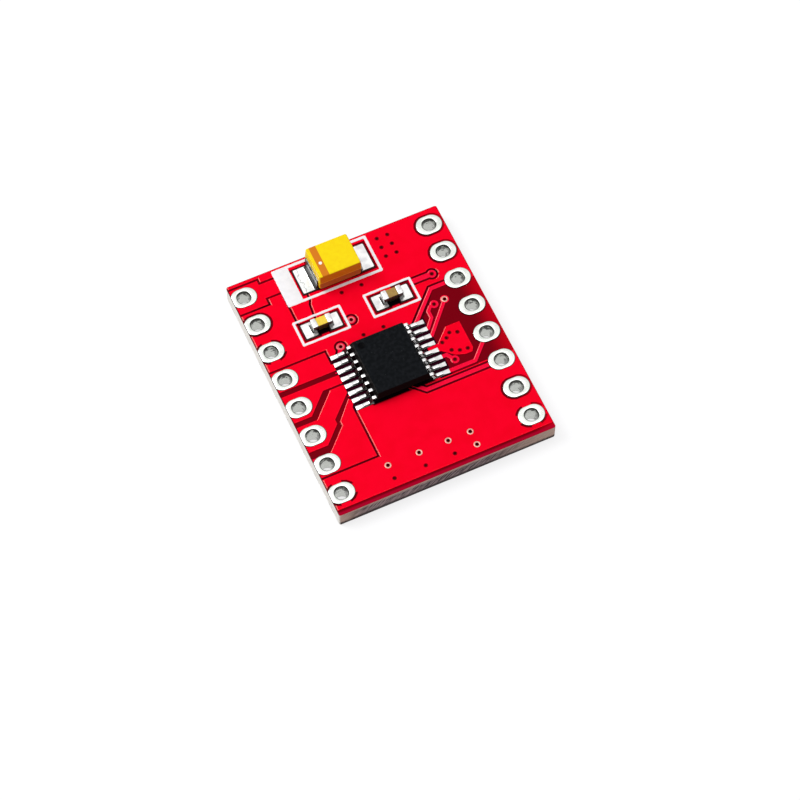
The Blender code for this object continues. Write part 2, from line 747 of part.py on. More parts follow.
def cleaned_plan(pattern):
    """The fewest triangles that keep apart the unlike parts of the plan, and their kinds."""
    points, faces = triangulated(pattern.outlines(), [])
    kinds = [pattern.kind(middle(points, face)) for face in faces]
    kept = needed_edges(points, faces, kinds)
    used = sorted({v for edge in kept for v in edge})
    place = {v: i for i, v in enumerate(used)}
    again = delaunay_2d_cdt([Vector(points[v]) / MM for v in used],
                            [(place[a], place[b]) for a, b in kept], [], 0, 1e-5)
    points, faces = [tuple(v * MM) for v in again[0]], again[2]
    return points, faces, [pattern.kind(middle(points, face)) for face in faces]


def relief_board():
    """The board as one closed mesh, its lacquered copper standing proud on both faces."""
    points, faces, kinds = cleaned_plan(CopperPattern())
    heights = {False: (CORE_TOP, CORE_BOTTOM), True: (MASK_TOP, MASK_BOTTOM)}
    work = bmesh.new()
    corners = {}

    def corner(point, z):
        """The one vertex at a point of the plan and a height."""
        if (point, z) not in corners:
            corners[point, z] = work.verts.new((*points[point], z))
        return corners[point, z]

    def wall(a, b, low, high):
        """A face between two heights along an edge."""
        work.faces.new((corner(a, low), corner(b, low), corner(b, high), corner(a, high)))

    for face, kind in zip(faces, kinds):
        if kind is None:
            continue
        front, back = heights[kind[0]][0], heights[kind[1]][1]
        work.faces.new([corner(v, front) for v in face])
        work.faces.new([corner(v, back) for v in reversed(face)])
    for edge, beside_it in shared_edges(faces).items():
        a, b = sorted(edge)
        sides = [kinds[i] for i in beside_it]
        there = [kind for kind in sides if kind is not None]
        if len(there) == 1:
            wall(a, b, heights[there[0][1]][1], heights[there[0][0]][0])
            continue
        if len(there) == 2 and there[0][0] != there[1][0]:
            wall(a, b, CORE_TOP, MASK_TOP)
        if len(there) == 2 and there[0][1] != there[1][1]:
            wall(a, b, MASK_BOTTOM, CORE_BOTTOM)
    return finished(work, "board")


# Plated holes

def hole_plating(side):
    """A plated barrel with an oval land at each face, cut flush where the board's edge cuts it."""
    edge = (BOARD_LEFT if side == LEFT else BOARD_RIGHT) - side * ROW_SPACING / 2
    land = oval((0, 0), PAD_LENGTH, PAD_WIDTH)
    land = [(max(x, edge) if side == LEFT else min(x, edge), y) for x, y in land]
    bore = ring((0, 0), HOLE_RADIUS, HOLE_SIDES)
    barrel = ring((0, 0), BARREL_RADIUS, HOLE_SIDES)
    sections = [(bore, 0), (land, 0), (land, FLANGE), (barrel, FLANGE),
                (barrel, CORE_TOP + SEAT), (land, CORE_TOP + SEAT), (land, LAND_TOP), (bore, LAND_TOP)]
    return finished(tube(sections), f"plated_hole_{SIDE_NAMES[side]}")


def build_holes(parent):
    """The sixteen plated header holes."""
    finish = tinned_copper()
    for side in (LEFT, RIGHT):
        mesh = hole_plating(side)
        for number in range(1, PINS_PER_ROW + 1):
            name = f"plated_hole_{SIDE_NAMES[side]}_{number}"
            dressed(placed(name, mesh, parent, (*pad_at(side, number), 0)), finish)


# Driver chip

def chip_lead():
    """A gull-wing lead with the solder joint and the land that its foot is sunk in."""
    foot_z = LAND_TOP + LEAD_SHEET / 2
    half = CHIP_WIDTH / 2
    line = [(half - LEAD_ROOT, LEAD_ROOT_Z), (half + LEAD_SHOULDER, LEAD_ROOT_Z),
            (LEAD_TIP - LEAD_FOOT, foot_z), (LEAD_TIP, foot_z)]
    side_view = strip(bent(line, LEAD_BEND), LEAD_SHEET)
    across = LEAD_WIDTH / 2
    wing = finished(loft([(side_view, -across), (side_view, across)], sideways), "lead_wing")
    land = block(((LAND_INNER + LAND_OUTER) / 2, 0), LAND_LENGTH, LAND_WIDTH)
    crown = grown(land, -SOLDER_INSET)
    joint = loft([(land, CORE_TOP + SEAT), (land, LAND_TOP), (crown, LAND_TOP + SOLDER_FILM)])
    return wing, finished(joint, "lead_joint")


def joined_mesh(first, second, name):
    """The union of two meshes, as a mesh of its own."""
    holder = placed(name, first, None)
    tool = placed(f"{name}_tool", second, None)
    combined(holder, tool, "UNION")
    graph = bpy.context.evaluated_depsgraph_get()
    mesh = bpy.data.meshes.new_from_object(holder.evaluated_get(graph))
    bpy.data.objects.remove(holder)
    bpy.data.objects.remove(tool)
    mesh.name = name
    return mesh


def chip_cutter():
    """The slots that the leads come out of, and the round mark beside the first lead."""
    half = CHIP_WIDTH / 2
    works = []
    for side, number in CHIP_LEADS:
        y = land_at(side, number)[1] - CHIP_Y
        x0, x1 = sorted((side * (half - LEAD_ROOT - SEAT), side * (half + SEAT)))
        reach_y = LEAD_WIDTH / 2 + SEAT
        reach_z = LEAD_SHEET / 2 + SEAT
        works.append(box_work(x0, x1, y - reach_y, y + reach_y,
                              LEAD_ROOT_Z - reach_z, LEAD_ROOT_Z + reach_z))
    top = CHIP_BASE + CHIP_HEIGHT
    at = (-half + DIMPLE_INSET, CHIP_LENGTH / 2 - DIMPLE_INSET)
    mark = ring(at, DIMPLE_RADIUS, DIMPLE_SIDES)
    works.append(loft([(mark, top - DIMPLE_DEPTH), (mark, top + DIMPLE_DEPTH)]))
    return finished(gathered(works), "chip_cutter")


def moulded_body(length, width, base, height, draft, lower_draft):
    """A block of a two-part mould: widest at mid-height, drawn in above and below."""
    def section(inset, z):
        """One level of the block."""
        return block((0, 0), length - 2 * inset, width - 2 * inset), z

    waist = section(0, base + height / 2)
    return loft([section(lower_draft, base), waist, section(draft, base + height)])


def build_chip(parent):
    """The driver chip: its body and its sixteen leads."""
    at = (CHIP_X, CHIP_Y, 0)
    body = moulded_body(CHIP_WIDTH, CHIP_LENGTH, CHIP_BASE, CHIP_HEIGHT, CHIP_DRAFT, CHIP_DRAFT)
    chip = dressed(placed("chip_body", finished(body, "chip_body"), parent, at), moulding_compound())
    combined(chip, placed("chip_cutter", chip_cutter(), parent, at), "DIFFERENCE")
    lead = joined_mesh(*chip_lead(), "chip_lead")
    finish = tinned_lead()
    for side, number in CHIP_LEADS:
        turn = 0.0 if side == RIGHT else math.pi
        location = (CHIP_X, land_at(side, number)[1], 0)
        made = placed(f"chip_lead_{SIDE_NAMES[side]}_{number}", lead, parent, location, turn)
        dressed(made, finish)


# Capacitors

def solder_joint(inner, outer, width, face, climb, seat_width):
    """A land with the solder that climbs the outer face of what stands on it."""
    land = block(((inner + outer) / 2, 0), outer - inner, width)
    plate = finished(loft([(land, CORE_TOP + SEAT), (land, LAND_TOP)]), "land")
    start = face + SEAT
    run = (outer - start) * SOLDER_SPREAD
    slope = [(start + run * (1 - math.sin(a)), LAND_TOP + climb * (1 - math.cos(a)))
             for a in (math.pi / 2 * (1 - i / ARC_STEPS) for i in range(ARC_STEPS + 1))]
    root = CORE_TOP + FLANGE / 2
    wedge = [(start, root), (start + run, root)] + slope[::-1]
    half = seat_width / 2
    heap = finished(loft([(wedge, -half), (wedge, half)], sideways), "heap")
    return joined_mesh(plate, heap, "solder_joint")


def strap():
    """One end terminal of the tantalum: out of the case, down its end and under it."""
    middle_z = TANTALUM_BASE + TANTALUM_HEIGHT / 2
    foot_z = LAND_TOP + SEAT + STRAP_SHEET / 2
    outer = STRAP_FACE - STRAP_SHEET / 2
    line = [(TANTALUM_LENGTH / 2 - STRAP_ROOT, middle_z), (outer, middle_z), (outer, foot_z),
            (STRAP_FACE - STRAP_FOOT, foot_z)]
    side_view = strip(bent(line, STRAP_BEND), STRAP_SHEET)
    half = STRAP_WIDTH / 2
    return finished(loft([(side_view, -half), (side_view, half)], sideways), "tantalum_terminal")


def build_tantalum(parent):
    """The tantalum capacitor: case, two end terminals and their soldered lands."""
    at = (TANTALUM_X, TANTALUM_Y, 0)
    case = moulded_body(TANTALUM_LENGTH, TANTALUM_WIDTH, TANTALUM_BASE, TANTALUM_HEIGHT,
                        TANTALUM_DRAFT, TANTALUM_LOWER_DRAFT)
    body = dressed(placed("tantalum_body", finished(case, "tantalum_body"), parent, at), tantalum_case())
    beveled(body, TANTALUM_EDGE, 2)
    middle_z = TANTALUM_BASE + TANTALUM_HEIGHT / 2
    half = TANTALUM_LENGTH / 2
    reach_y, reach_z = STRAP_WIDTH / 2 + SEAT, STRAP_SHEET / 2 + SEAT
    slots = []
    for side in (LEFT, RIGHT):
        x0, x1 = sorted((side * (half - STRAP_ROOT - SEAT), side * (half + SEAT)))
        slots.append(box_work(x0, x1, -reach_y, reach_y, middle_z - reach_z, middle_z + reach_z))
    cutter = placed("tantalum_cutter", finished(gathered(slots), "tantalum_cutter"), parent, at)
    combined(body, cutter, "DIFFERENCE")
    terminal = strap()
    joint = solder_joint(TANTALUM_LAND_INNER, TANTALUM_LAND_OUTER, TANTALUM_LAND_WIDTH,
                         STRAP_FACE, TANTALUM_SOLDER, STRAP_WIDTH)
    lead_finish, land_finish = tinned_lead(), tinned_copper()
    for side, name in SIDE_NAMES.items():
        turn = 0.0 if side == RIGHT else math.pi
        dressed(placed(f"tantalum_terminal_{name}", terminal, parent, at, turn), lead_finish)
        dressed(placed(f"tantalum_land_{name}", joint, parent, at, turn), land_finish)


def end_cap():
    """A plated cup over one end of a ceramic capacitor."""
    half, across = CERAMIC_LENGTH / 2, CERAMIC_WIDTH / 2
    base = LAND_TOP + SEAT
    top = base + CERAMIC_HEIGHT
    shell = finished(box_work(half - CAP_BAND, half, -across, across, base, top), "end_cap")
    hollow = box_work(half - CAP_BAND - CAP_WALL, half - CAP_WALL, -across + CAP_WALL, across - CAP_WALL,
                      base + CAP_WALL, top - CAP_WALL)
    holder = beveled(placed("cap_holder", shell, None), min(CERAMIC_EDGE, 1.5 * CAP_WALL), 1)
    tool = placed("cap_tool", finished(hollow, "cap_hollow"), None)
    combined(holder, tool, "DIFFERENCE")
    graph = bpy.context.evaluated_depsgraph_get()
    mesh = bpy.data.meshes.new_from_object(holder.evaluated_get(graph))
    bpy.data.objects.remove(holder)
    bpy.data.objects.remove(tool)
    mesh.name = "end_cap"
    return mesh


def build_ceramics(parent):
    """Two ceramic capacitors: body, end caps and soldered lands each."""
    inset = CAP_WALL + SEAT
    length, width = CERAMIC_LENGTH - 2 * inset, CERAMIC_WIDTH - 2 * inset
    base = LAND_TOP + SEAT + inset
    bar = block((0, 0), length, width)
    core = finished(loft([(bar, base), (bar, base + CERAMIC_HEIGHT - 2 * inset)]), "ceramic_body")
    cup = end_cap()
    joint = solder_joint(CERAMIC_LAND_INNER, CERAMIC_LAND_OUTER, CERAMIC_LAND_WIDTH,
                         CERAMIC_LENGTH / 2, CERAMIC_SOLDER, CERAMIC_WIDTH)
    colours = {"left": (0.80, 0.55, 0.12), "right": (0.42, 0.30, 0.10)}
    cap_finish, land_finish = tinned_lead(), tinned_copper()
    for place, x in CERAMICS.items():
        at = (x, CERAMIC_Y, 0)
        body = placed(f"ceramic_{place}_body", core.copy(), parent, at)
        dressed(body, ceramic(f"ceramic_{place}", colours[place]))
        for side, end in SIDE_NAMES.items():
            turn = 0.0 if side == RIGHT else math.pi
            dressed(placed(f"ceramic_{place}_cap_{end}", cup, parent, at, turn), cap_finish)
            dressed(placed(f"ceramic_{place}_land_{end}", joint, parent, at, turn), land_finish)


# Printed frames

def ink_frame(name, outer, inner_insets, parent, finish):
    """A printed rectangle outline: insets are left, near, right and far line widths."""
    x0, y0, x1, y1 = outer
    left, near, right, far = inner_insets
    rim = rounded(x0, y0, x1, y1, INK_CORNER)
    opening = rounded(x0 + left, y0 + near, x1 - right, y1 - far, INK_CORNER / 2)
    low, high = MASK_TOP + SEAT, MASK_TOP + SEAT + INK
    work = tube([(rim, low), (rim, high), (opening, high), (opening, low)])
    return dressed(placed(name, finished(work, name), parent), finish)


def build_ink(parent):
    """The printed frames around the three capacitors, with the tantalum's polarity bar."""
    finish = white_ink()
    half_y = CERAMIC_FRAME_WIDTH / 2
    for place, x in CERAMICS.items():
        half_x = CERAMIC_FRAME_LENGTH / 2
        outer = (x - half_x, CERAMIC_Y - half_y, x + half_x, CERAMIC_Y + half_y)
        ink_frame(f"ink_frame_ceramic_{place}", outer, (INK_LINE,) * 4, parent, finish)
    reach = TANTALUM_LAND_OUTER + INK_GAP
    half_y = TANTALUM_FRAME_WIDTH / 2
    outer = (TANTALUM_X - reach - POLARITY_BAR, TANTALUM_Y - half_y,
             TANTALUM_X + reach + INK_LINE, TANTALUM_Y + half_y)
    insets = (POLARITY_BAR, INK_LINE, INK_LINE, INK_LINE)
    ink_frame("ink_frame_tantalum", outer, insets, parent, finish)


def main():
    """Clears the scene and builds the module."""
    for old in list(bpy.data.objects):
        bpy.data.objects.remove(old)
    module = bpy.data.objects.new("module", None)
    bpy.context.scene.collection.objects.link(module)
    module.location = -CENTRE
    dressed(placed("board", relief_board(), module), solder_mask())
    build_holes(module)
    build_chip(module)
    build_tantalum(module)
    build_ceramics(module)
    build_ink(module)


main()
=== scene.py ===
"""Looks of a red two-row DC motor driver module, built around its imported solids.

Lengths are in millimetres in the frame's axes, with the board lying on z = 0 and the
tantalum capacitor at the far end (+Y). MeshWork turns them into metres."""

import logging
import math
from collections.abc import Iterable, Sequence
from dataclasses import dataclass, field
from enum import Enum

import bmesh
import bpy
from mathutils import Matrix, Vector
from mathutils.bvhtree import BVHTree


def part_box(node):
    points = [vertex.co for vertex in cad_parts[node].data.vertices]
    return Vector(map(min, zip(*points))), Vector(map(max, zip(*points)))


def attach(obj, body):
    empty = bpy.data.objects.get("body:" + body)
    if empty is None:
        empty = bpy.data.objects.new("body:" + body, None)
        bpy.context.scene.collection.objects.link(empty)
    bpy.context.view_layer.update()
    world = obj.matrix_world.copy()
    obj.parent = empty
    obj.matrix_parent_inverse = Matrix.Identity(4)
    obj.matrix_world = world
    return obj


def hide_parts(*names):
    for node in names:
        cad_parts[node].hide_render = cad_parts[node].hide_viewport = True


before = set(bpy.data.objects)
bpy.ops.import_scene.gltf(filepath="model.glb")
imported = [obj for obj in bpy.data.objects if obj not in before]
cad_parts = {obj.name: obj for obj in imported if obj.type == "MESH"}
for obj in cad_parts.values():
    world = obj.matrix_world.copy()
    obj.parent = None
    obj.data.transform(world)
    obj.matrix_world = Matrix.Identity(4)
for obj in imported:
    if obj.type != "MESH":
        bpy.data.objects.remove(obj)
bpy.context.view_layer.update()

LOG = logging.getLogger("driver_module")
MM = 1e-3
TINY = 1e-4

Colour = tuple[float, float, float]
Flat = tuple[float, float]
Outline = list[Flat]
Place = tuple[float, float, float]
Socket = bpy.types.NodeSocket
Value = Socket | float | tuple[float, ...]
Vertex = bmesh.types.BMVert

# Heights of the film's two faces, of the laminate's middle and top, and of the lands.
MASK_BOTTOM, MID_BOARD, CORE_TOP, MASK_TOP, LAND_TOP = 0.03, 1.0, 1.58, 1.63, 1.66
BOARD_HALF_X, BOARD_HALF_Y = 8.67, 10.38

# Places in the plan.
PIN_PITCH = 2.54
ROW_LEFT_X, ROW_RIGHT_X, ROW_FAR_Y = -7.79, 7.45, 9.01
CHIP_X, CHIP_Y = -0.23, -0.69
LEAD_PITCH, LEADS_PER_SIDE, PINS_PER_ROW = 0.65, 8, 8
TANTALUM_X, TANTALUM_Y = -0.69, 8.51
CERAMIC_LEFT_X, CERAMIC_RIGHT_X, CERAMIC_Y = -3.47, 2.27, 4.4325

# Directions that painted light and painted reflections change with.
TO_LEFT: Place = (-1.0, 0.0, 0.0)
TO_FAR_RIGHT: Place = (0.6, 0.8, 0.0)


class Side(Enum):
    """Which side of the middle line a mirrored piece is on."""

    LEFT = -1
    RIGHT = 1

    @property
    def word(self) -> str:
        """The side's word in the names of nodes."""
        return self.name.lower()


class ViaKind(Enum):
    """How the lacquer ends at a via."""

    TENTED = "tented"
    RINGED = "ringed"
    BARE = "bare"


# Outlines and sections


def round_rect(centre: Flat, half: Flat, radius: float, steps: int = 3) -> Outline:
    """A rectangle with round corners, counter-clockwise.

    Args:
        centre: Its middle.
        half: Half of its length and width.
        radius: The corners' radius.
        steps: Facets in each corner.

    Returns:
        Its corner points.
    """
    radius = max(min(radius, half[0] - TINY, half[1] - TINY), TINY)
    points = []
    for turn, (sx, sy) in enumerate(((1, 1), (-1, 1), (-1, -1), (1, -1))):
        x = centre[0] + sx * (half[0] - radius)
        y = centre[1] + sy * (half[1] - radius)
        for step in range(steps + 1):
            angle = math.pi / 2 * (turn + step / steps)
            points.append((x + radius * math.cos(angle), y + radius * math.sin(angle)))
    return points


def oval(centre: Flat, length: float, width: float, sides: int) -> Outline:
    """A round-ended outline, longer along X.

    Args:
        centre: Its middle.
        length: Its size along X.
        width: Its size along Y.
        sides: How many points it has, a multiple of four.

    Returns:
        Its points, counter-clockwise.
    """
    reach = (length - width) / 2
    points = []
    for i in range(sides):
        angle = 2 * math.pi * (i + 0.5) / sides
        x = math.copysign(reach, math.cos(angle)) + width / 2 * math.cos(angle)
        points.append((centre[0] + x, centre[1] + width / 2 * math.sin(angle)))
    return points


def circle(centre: Flat, radius: float, sides: int) -> Outline:
    """A round outline."""
    return oval(centre, 2 * radius, 2 * radius, sides)


def between(first: Outline, second: Outline, share: float) -> Outline:
    """The outline that is a share of the way from the first to the second."""
    return [(a + (c - a) * share, b + (d - b) * share) for (a, b), (c, d) in zip(first, second)]


def at_height(outline: Outline, z: float) -> list[Place]:
    """An outline of the plan, lifted to a height."""
    return [(x, y, z) for x, y in outline]


def stacked(centre: Flat, half: Flat, radius: float, levels: Sequence[Flat],
            steps: int = 3) -> list[list[Place]]:
    """Sections of an upright block with round corners, by how far each is drawn in and its height."""
    return [at_height(round_rect(centre, (half[0] - inset, half[1] - inset), radius, steps), z)
            for inset, z in levels]


def bent_line(points: Sequence[Flat], radius: float, steps: int = 6) -> list[Flat]:
    """An open line with its corners turned into arcs.

    Args:
        points: The line's ends and corners.
        radius: The arcs' radius.
        steps: Facets in each arc.

    Returns:
        The points of the bent line.
    """
    line = [points[0]]
    for before, here, after in zip(points, points[1:], points[2:]):
        corner = Vector(here)
        enter = (Vector(before) - corner).normalized()
        leave = (Vector(after) - corner).normalized()
        half_angle = enter.angle(leave) / 2
        centre = corner + (enter + leave).normalized() * radius / math.sin(half_angle)
        arm = corner + enter * radius / math.tan(half_angle) - centre
        turn = enter.angle_signed(leave)
        sweep = math.copysign(math.pi - abs(turn), turn)
        for step in range(steps + 1):
            spin = Matrix.Rotation(sweep * step / steps, 2)
            line.append(tuple(centre + spin @ arm))
    return line + [points[-1]]


def linked(name: str, data: bpy.types.ID) -> bpy.types.Object:
    """Makes an object and links it to the scene.

    Args:
        name: Its name.
        data: Its mesh, light or camera.

    Returns:
        The object.
    """
    made = bpy.data.objects.new(name, data)
    bpy.context.scene.collection.objects.link(made)
    return made


@dataclass
class MeshWork:
    """A mesh in the making, in millimetres."""

    work: bmesh.types.BMesh = field(default_factory=bmesh.new)

    def ring(self, points: Iterable[Place]) -> list[Vertex]:
        """Adds points and returns their vertices."""
        return [self.work.verts.new(p) for p in points]

    def face(self, corners: Sequence[Vertex], finish: int = 0) -> None:
        """Adds a face with one of the piece's finishes."""
        self.work.faces.new(corners).material_index = finish

    def band(self, lower: Sequence[Vertex], upper: Sequence[Vertex], finish: int) -> None:
        """Joins two closed rings of as many vertices.

        Args:
            lower: The first ring.
            upper: The second ring.
            finish: Index of the finish.
        """
        for i in range(len(lower)):
            j = (i + 1) % len(lower)
            self.face((lower[i], lower[j], upper[j], upper[i]), finish)

    def loft(self, sections: Sequence[Sequence[Place]], finish: int = 0,
             ends: tuple[bool, bool] = (True, True)) -> list[list[Vertex]]:
        """Joins sections of as many points each into a skin.

        Args:
            sections: The sections in order.
            finish: Index of the finish.
            ends: Whether the first and the last section are filled.

        Returns:
            The rings of vertices.
        """
        rings = [self.ring(section) for section in sections]
        for lower, upper in zip(rings, rings[1:]):
            self.band(lower, upper, finish)
        if ends[0]:
            self.face(rings[0][::-1], finish)
        if ends[1]:
            self.face(rings[-1], finish)
        return rings

    def wheel(self, sections: Sequence[Sequence[Place]]) -> list[list[Vertex]]:
        """Joins sections into a ring that closes on its first section.

        Args:
            sections: The sections in order.

        Returns:
            The rings of vertices.
        """
        rings = self.loft(sections, 0, (False, False))
        self.band(rings[-1], rings[0], 0)
        return rings

    def sweep(self, line: Sequence[Flat], y: float, half: Flat, edge: float) -> None:
        """Draws a flat bar with round edges and ends along a line seen from the side.

        Args:
            line: The middle of the bar, as X and Z.
            y: The middle of its width.
            half: Half of its width and half of its thickness.
            edge: The radius of its edges.
        """
        last = len(line) - 1
        tip, reach, taper = 0.6, 0.7, 0.4
        stops = [(0, tip, -reach), *((step, 1.0, 0.0) for step in range(last + 1)), (last, tip, reach)]
        sections = []
        for step, size, push in stops:
            before, after = line[max(step - 1, 0)], line[min(step + 1, last)]
            along = (Vector(after) - Vector(before)).normalized()
            across = Vector((-along.y, along.x))
            start = Vector(line[step]) + along * (edge * push)
            section = []
            for v, w in round_rect((0.0, 0.0), half, edge, 2):
                spot = start + across * w * size
                section.append((spot.x, y + v * (1 - (1 - size) * taper), spot.y))
            sections.append(section)
        self.loft(sections)

    def moved(self, side: Side, centre: Flat) -> None:
        """Turns a mesh that is drawn along +X to a side, and moves it to its place in the plan.

        Args:
            side: The side.
            centre: The place.
        """
        for vertex in self.work.verts:
            vertex.co.x = centre[0] + side.value * vertex.co.x
            vertex.co.y += centre[1]

    def placed(self, name: str, finishes: Sequence["Finish"], nodes: Sequence[str],
               smooth: float = 40.0) -> None:
        """Makes the piece, which rides on the module and stands for its solids.

        Args:
            name: The piece's name.
            finishes: Its finishes, in the order of the faces' indexes.
            nodes: The solids that it stands for.
            smooth: The angle in degrees up to which faces are shaded as one surface.
        """
        bmesh.ops.recalc_face_normals(self.work, faces=self.work.faces)
        self.work.transform(Matrix.Scale(MM, 4))
        mesh = bpy.data.meshes.new(name)
        self.work.to_mesh(mesh)
        self.work.free()
        mesh.polygons.foreach_set("use_smooth", [True] * len(mesh.polygons))
        mesh.set_sharp_from_angle(angle=math.radians(smooth))
        made = linked(name, mesh)
        level = made.modifiers.new("even_normals", "WEIGHTED_NORMAL")
        level.keep_sharp = True
        level.weight = 80
        for finish in finishes:
            mesh.materials.append(finish.material())
        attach(made, "root")
        if nodes:
            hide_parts(*nodes)
        LOG.info("%s: %d faces, stands for %s", name, len(mesh.polygons), ", ".join(nodes) or "no solid")


# Shader graphs


class Graph:
    """Short ways to add nodes to a material's or a group's tree."""

    def __init__(self, tree: bpy.types.NodeTree) -> None:
        """Takes the tree that the nodes go to."""
        self.tree = tree

    def add(self, kind: str, inputs: dict[str | int, Value] | None = None,
            **settings: object) -> bpy.types.Node:
        """Adds a node.

        Args:
            kind: The node's type without its "ShaderNode".
            inputs: Values or sockets by input name or index.
            settings: The node's own settings.

        Returns:
            The node.
        """
        node = self.tree.nodes.new("ShaderNode" + kind)
        for key, value in settings.items():
            setattr(node, key, value)
        for key, value in (inputs or {}).items():
            self.feed(node.inputs[key], value)
        return node

    def feed(self, target: Socket, value: Value) -> None:
        """Links a socket to a target, or writes a plain value there.

        Args:
            target: The input socket.
            value: An output socket, a number, a vector or a colour.
        """
        if isinstance(value, bpy.types.NodeSocket):
            self.tree.links.new(value, target)
        elif isinstance(value, tuple) and len(value) == 3 and target.type == "RGBA":
            target.default_value = (*value, 1.0)
        else:
            target.default_value = value

    def math(self, operation: str, first: Value, second: Value = 0.0) -> Socket:
        """The result of a Math node."""
        return self.add("Math", {0: first, 1: second}, operation=operation).outputs[0]

    def plus(self, first: Value, second: Value) -> Socket:
        """The sum of two values."""
        return self.math("ADD", first, second)

    def minus(self, first: Value, second: Value) -> Socket:
        """The first value less the second."""
        return self.math("SUBTRACT", first, second)

    def times(self, first: Value, second: Value) -> Socket:
        """The product of two values."""
        return self.math("MULTIPLY", first, second)

    def larger(self, first: Value, second: Value) -> Socket:
        """The larger of two values."""
        return self.math("MAXIMUM", first, second)

    def over(self, value: Value, limit: Value) -> Socket:
        """1 where a value is over a limit, and 0 elsewhere."""
        return self.math("GREATER_THAN", value, limit)

    def under(self, value: Value, limit: Value) -> Socket:
        """1 where a value is under a limit, and 0 elsewhere."""
        return self.math("LESS_THAN", value, limit)

    def size(self, value: Value) -> Socket:
        """A value without its sign."""
        return self.math("ABSOLUTE", value)

    def vector(self, operation: str, first: Value, second: Value = (0.0, 0.0, 0.0)) -> Socket:
        """The vector result of a Vector Math node."""
        return self.add("VectorMath", {0: first, 1: second}, operation=operation).outputs["Vector"]

    def measure(self, operation: str, first: Value, second: Value = (0.0, 0.0, 0.0)) -> Socket:
        """The value result of a Vector Math node."""
        return self.add("VectorMath", {0: first, 1: second}, operation=operation).outputs["Value"]

    def axes(self, vector: Socket) -> list[Socket]:
        """A vector's X, Y and Z."""
        return list(self.add("SeparateXYZ", {0: vector}).outputs)

    def ramp(self, value: Socket, low: Value, high: Value, to: Flat = (0.0, 1.0)) -> Socket:
        """A value taken smoothly from one range to another."""
        inputs = {"Value": value, "From Min": low, "From Max": high, "To Min": to[0], "To Max": to[1]}
        return self.add("MapRange", inputs, interpolation_type="SMOOTHSTEP").outputs["Result"]

    def spread(self, share: Socket, low: float, high: float) -> Socket:
        """A share taken evenly to a range."""
        return self.add("MapRange", {"Value": share, "To Min": low, "To Max": high}).outputs["Result"]

    def blend(self, share: Value, first: Value, second: Value) -> Socket:
        """Two colours mixed.

        Args:
            share: The second colour's share.
            first: The first colour.
            second: The second colour.

        Returns:
            The mixed colour.
        """
        node = self.add("Mix", data_type="RGBA", blend_type="MIX")
        for index, value in ((0, share), (6, first), (7, second)):
            self.feed(node.inputs[index], value)
        return node.outputs[2]

    def grains(self, place: Socket, scale: Value, detail: float) -> Socket:
        """Noise with so many features to a metre, from 0 to 1."""
        return self.add("TexNoise", {"Vector": place, "Scale": scale, "Detail": detail}).outputs[0]

    def noise(self, place: Socket, size: float, stretch: Place = (1, 1, 1)) -> Socket:
        """Noise with features of a size in millimetres.

        Args:
            place: Where a point is.
            size: The features' size.
            stretch: How much closer the features are along each axis.

        Returns:
            A value from 0 to 1.
        """
        if stretch != (1, 1, 1):
            place = self.add("Mapping", {"Vector": place, "Scale": stretch}).outputs[0]
        return self.grains(place, 1 / (size * MM), 2.0)

    def place(self) -> Socket:
        """Where a point is on the object."""
        return self.add("TexCoord").outputs["Object"]

    def normal(self) -> Socket:
        """Which way a face is turned on the object."""
        return self.add("TexCoord").outputs["Normal"]

    def layer(self, name: str) -> Socket:
        """A value that the mesh's vertices or faces carry."""
        return self.add("Attribute", attribute_name=name).outputs["Fac"]

    def turned(self, direction: Place, low: float, high: float) -> Socket:
        """How far a face is turned to a direction, from 0 at one cosine to 1 at another."""
        return self.group(EFFECTS.facing, {"Direction": direction, "From": low, "To": high}).outputs["Mask"]

    def steep(self, low: float, high: float) -> Socket:
        """How steep a face is, from 0 at one steepness to 1 at another."""
        return self.group(EFFECTS.upright, {"From": low, "To": high}).outputs["Mask"]

    def group(self, tree: bpy.types.NodeTree, inputs: dict[str, Value]) -> bpy.types.Node:
        """Adds a shared effect.

        Args:
            tree: The effect's group.
            inputs: Its values or sockets by input name.

        Returns:
            The group's node.
        """
        node = self.add("Group", node_tree=tree)
        for key, value in inputs.items():
            self.feed(node.inputs[key], value)
        return node


class Effect(Graph):
    """A shared effect in the making: a group with the values that it is given."""

    def __init__(self, name: str, inputs: dict[str, str], outputs: dict[str, str]) -> None:
        """Starts the group.

        Args:
            name: The group's name.
            inputs: Socket types by input name.
            outputs: Socket types by output name.
        """
        super().__init__(bpy.data.node_groups.new(name, "ShaderNodeTree"))
        for sockets, way in ((inputs, "INPUT"), (outputs, "OUTPUT")):
            for socket, kind in sockets.items():
                self.tree.interface.new_socket(socket, in_out=way, socket_type="NodeSocket" + kind)
        entry = self.tree.nodes.new("NodeGroupInput")
        self.given = {key: entry.outputs[key] for key in inputs}
        self.exit = self.tree.nodes.new("NodeGroupOutput")

    def done(self, **results: Socket) -> bpy.types.NodeTree:
        """Puts out the results.

        Args:
            results: Sockets by output name.

        Returns:
            The group.
        """
        for key, value in results.items():
            self.feed(self.exit.inputs[key], value)
        return self.tree


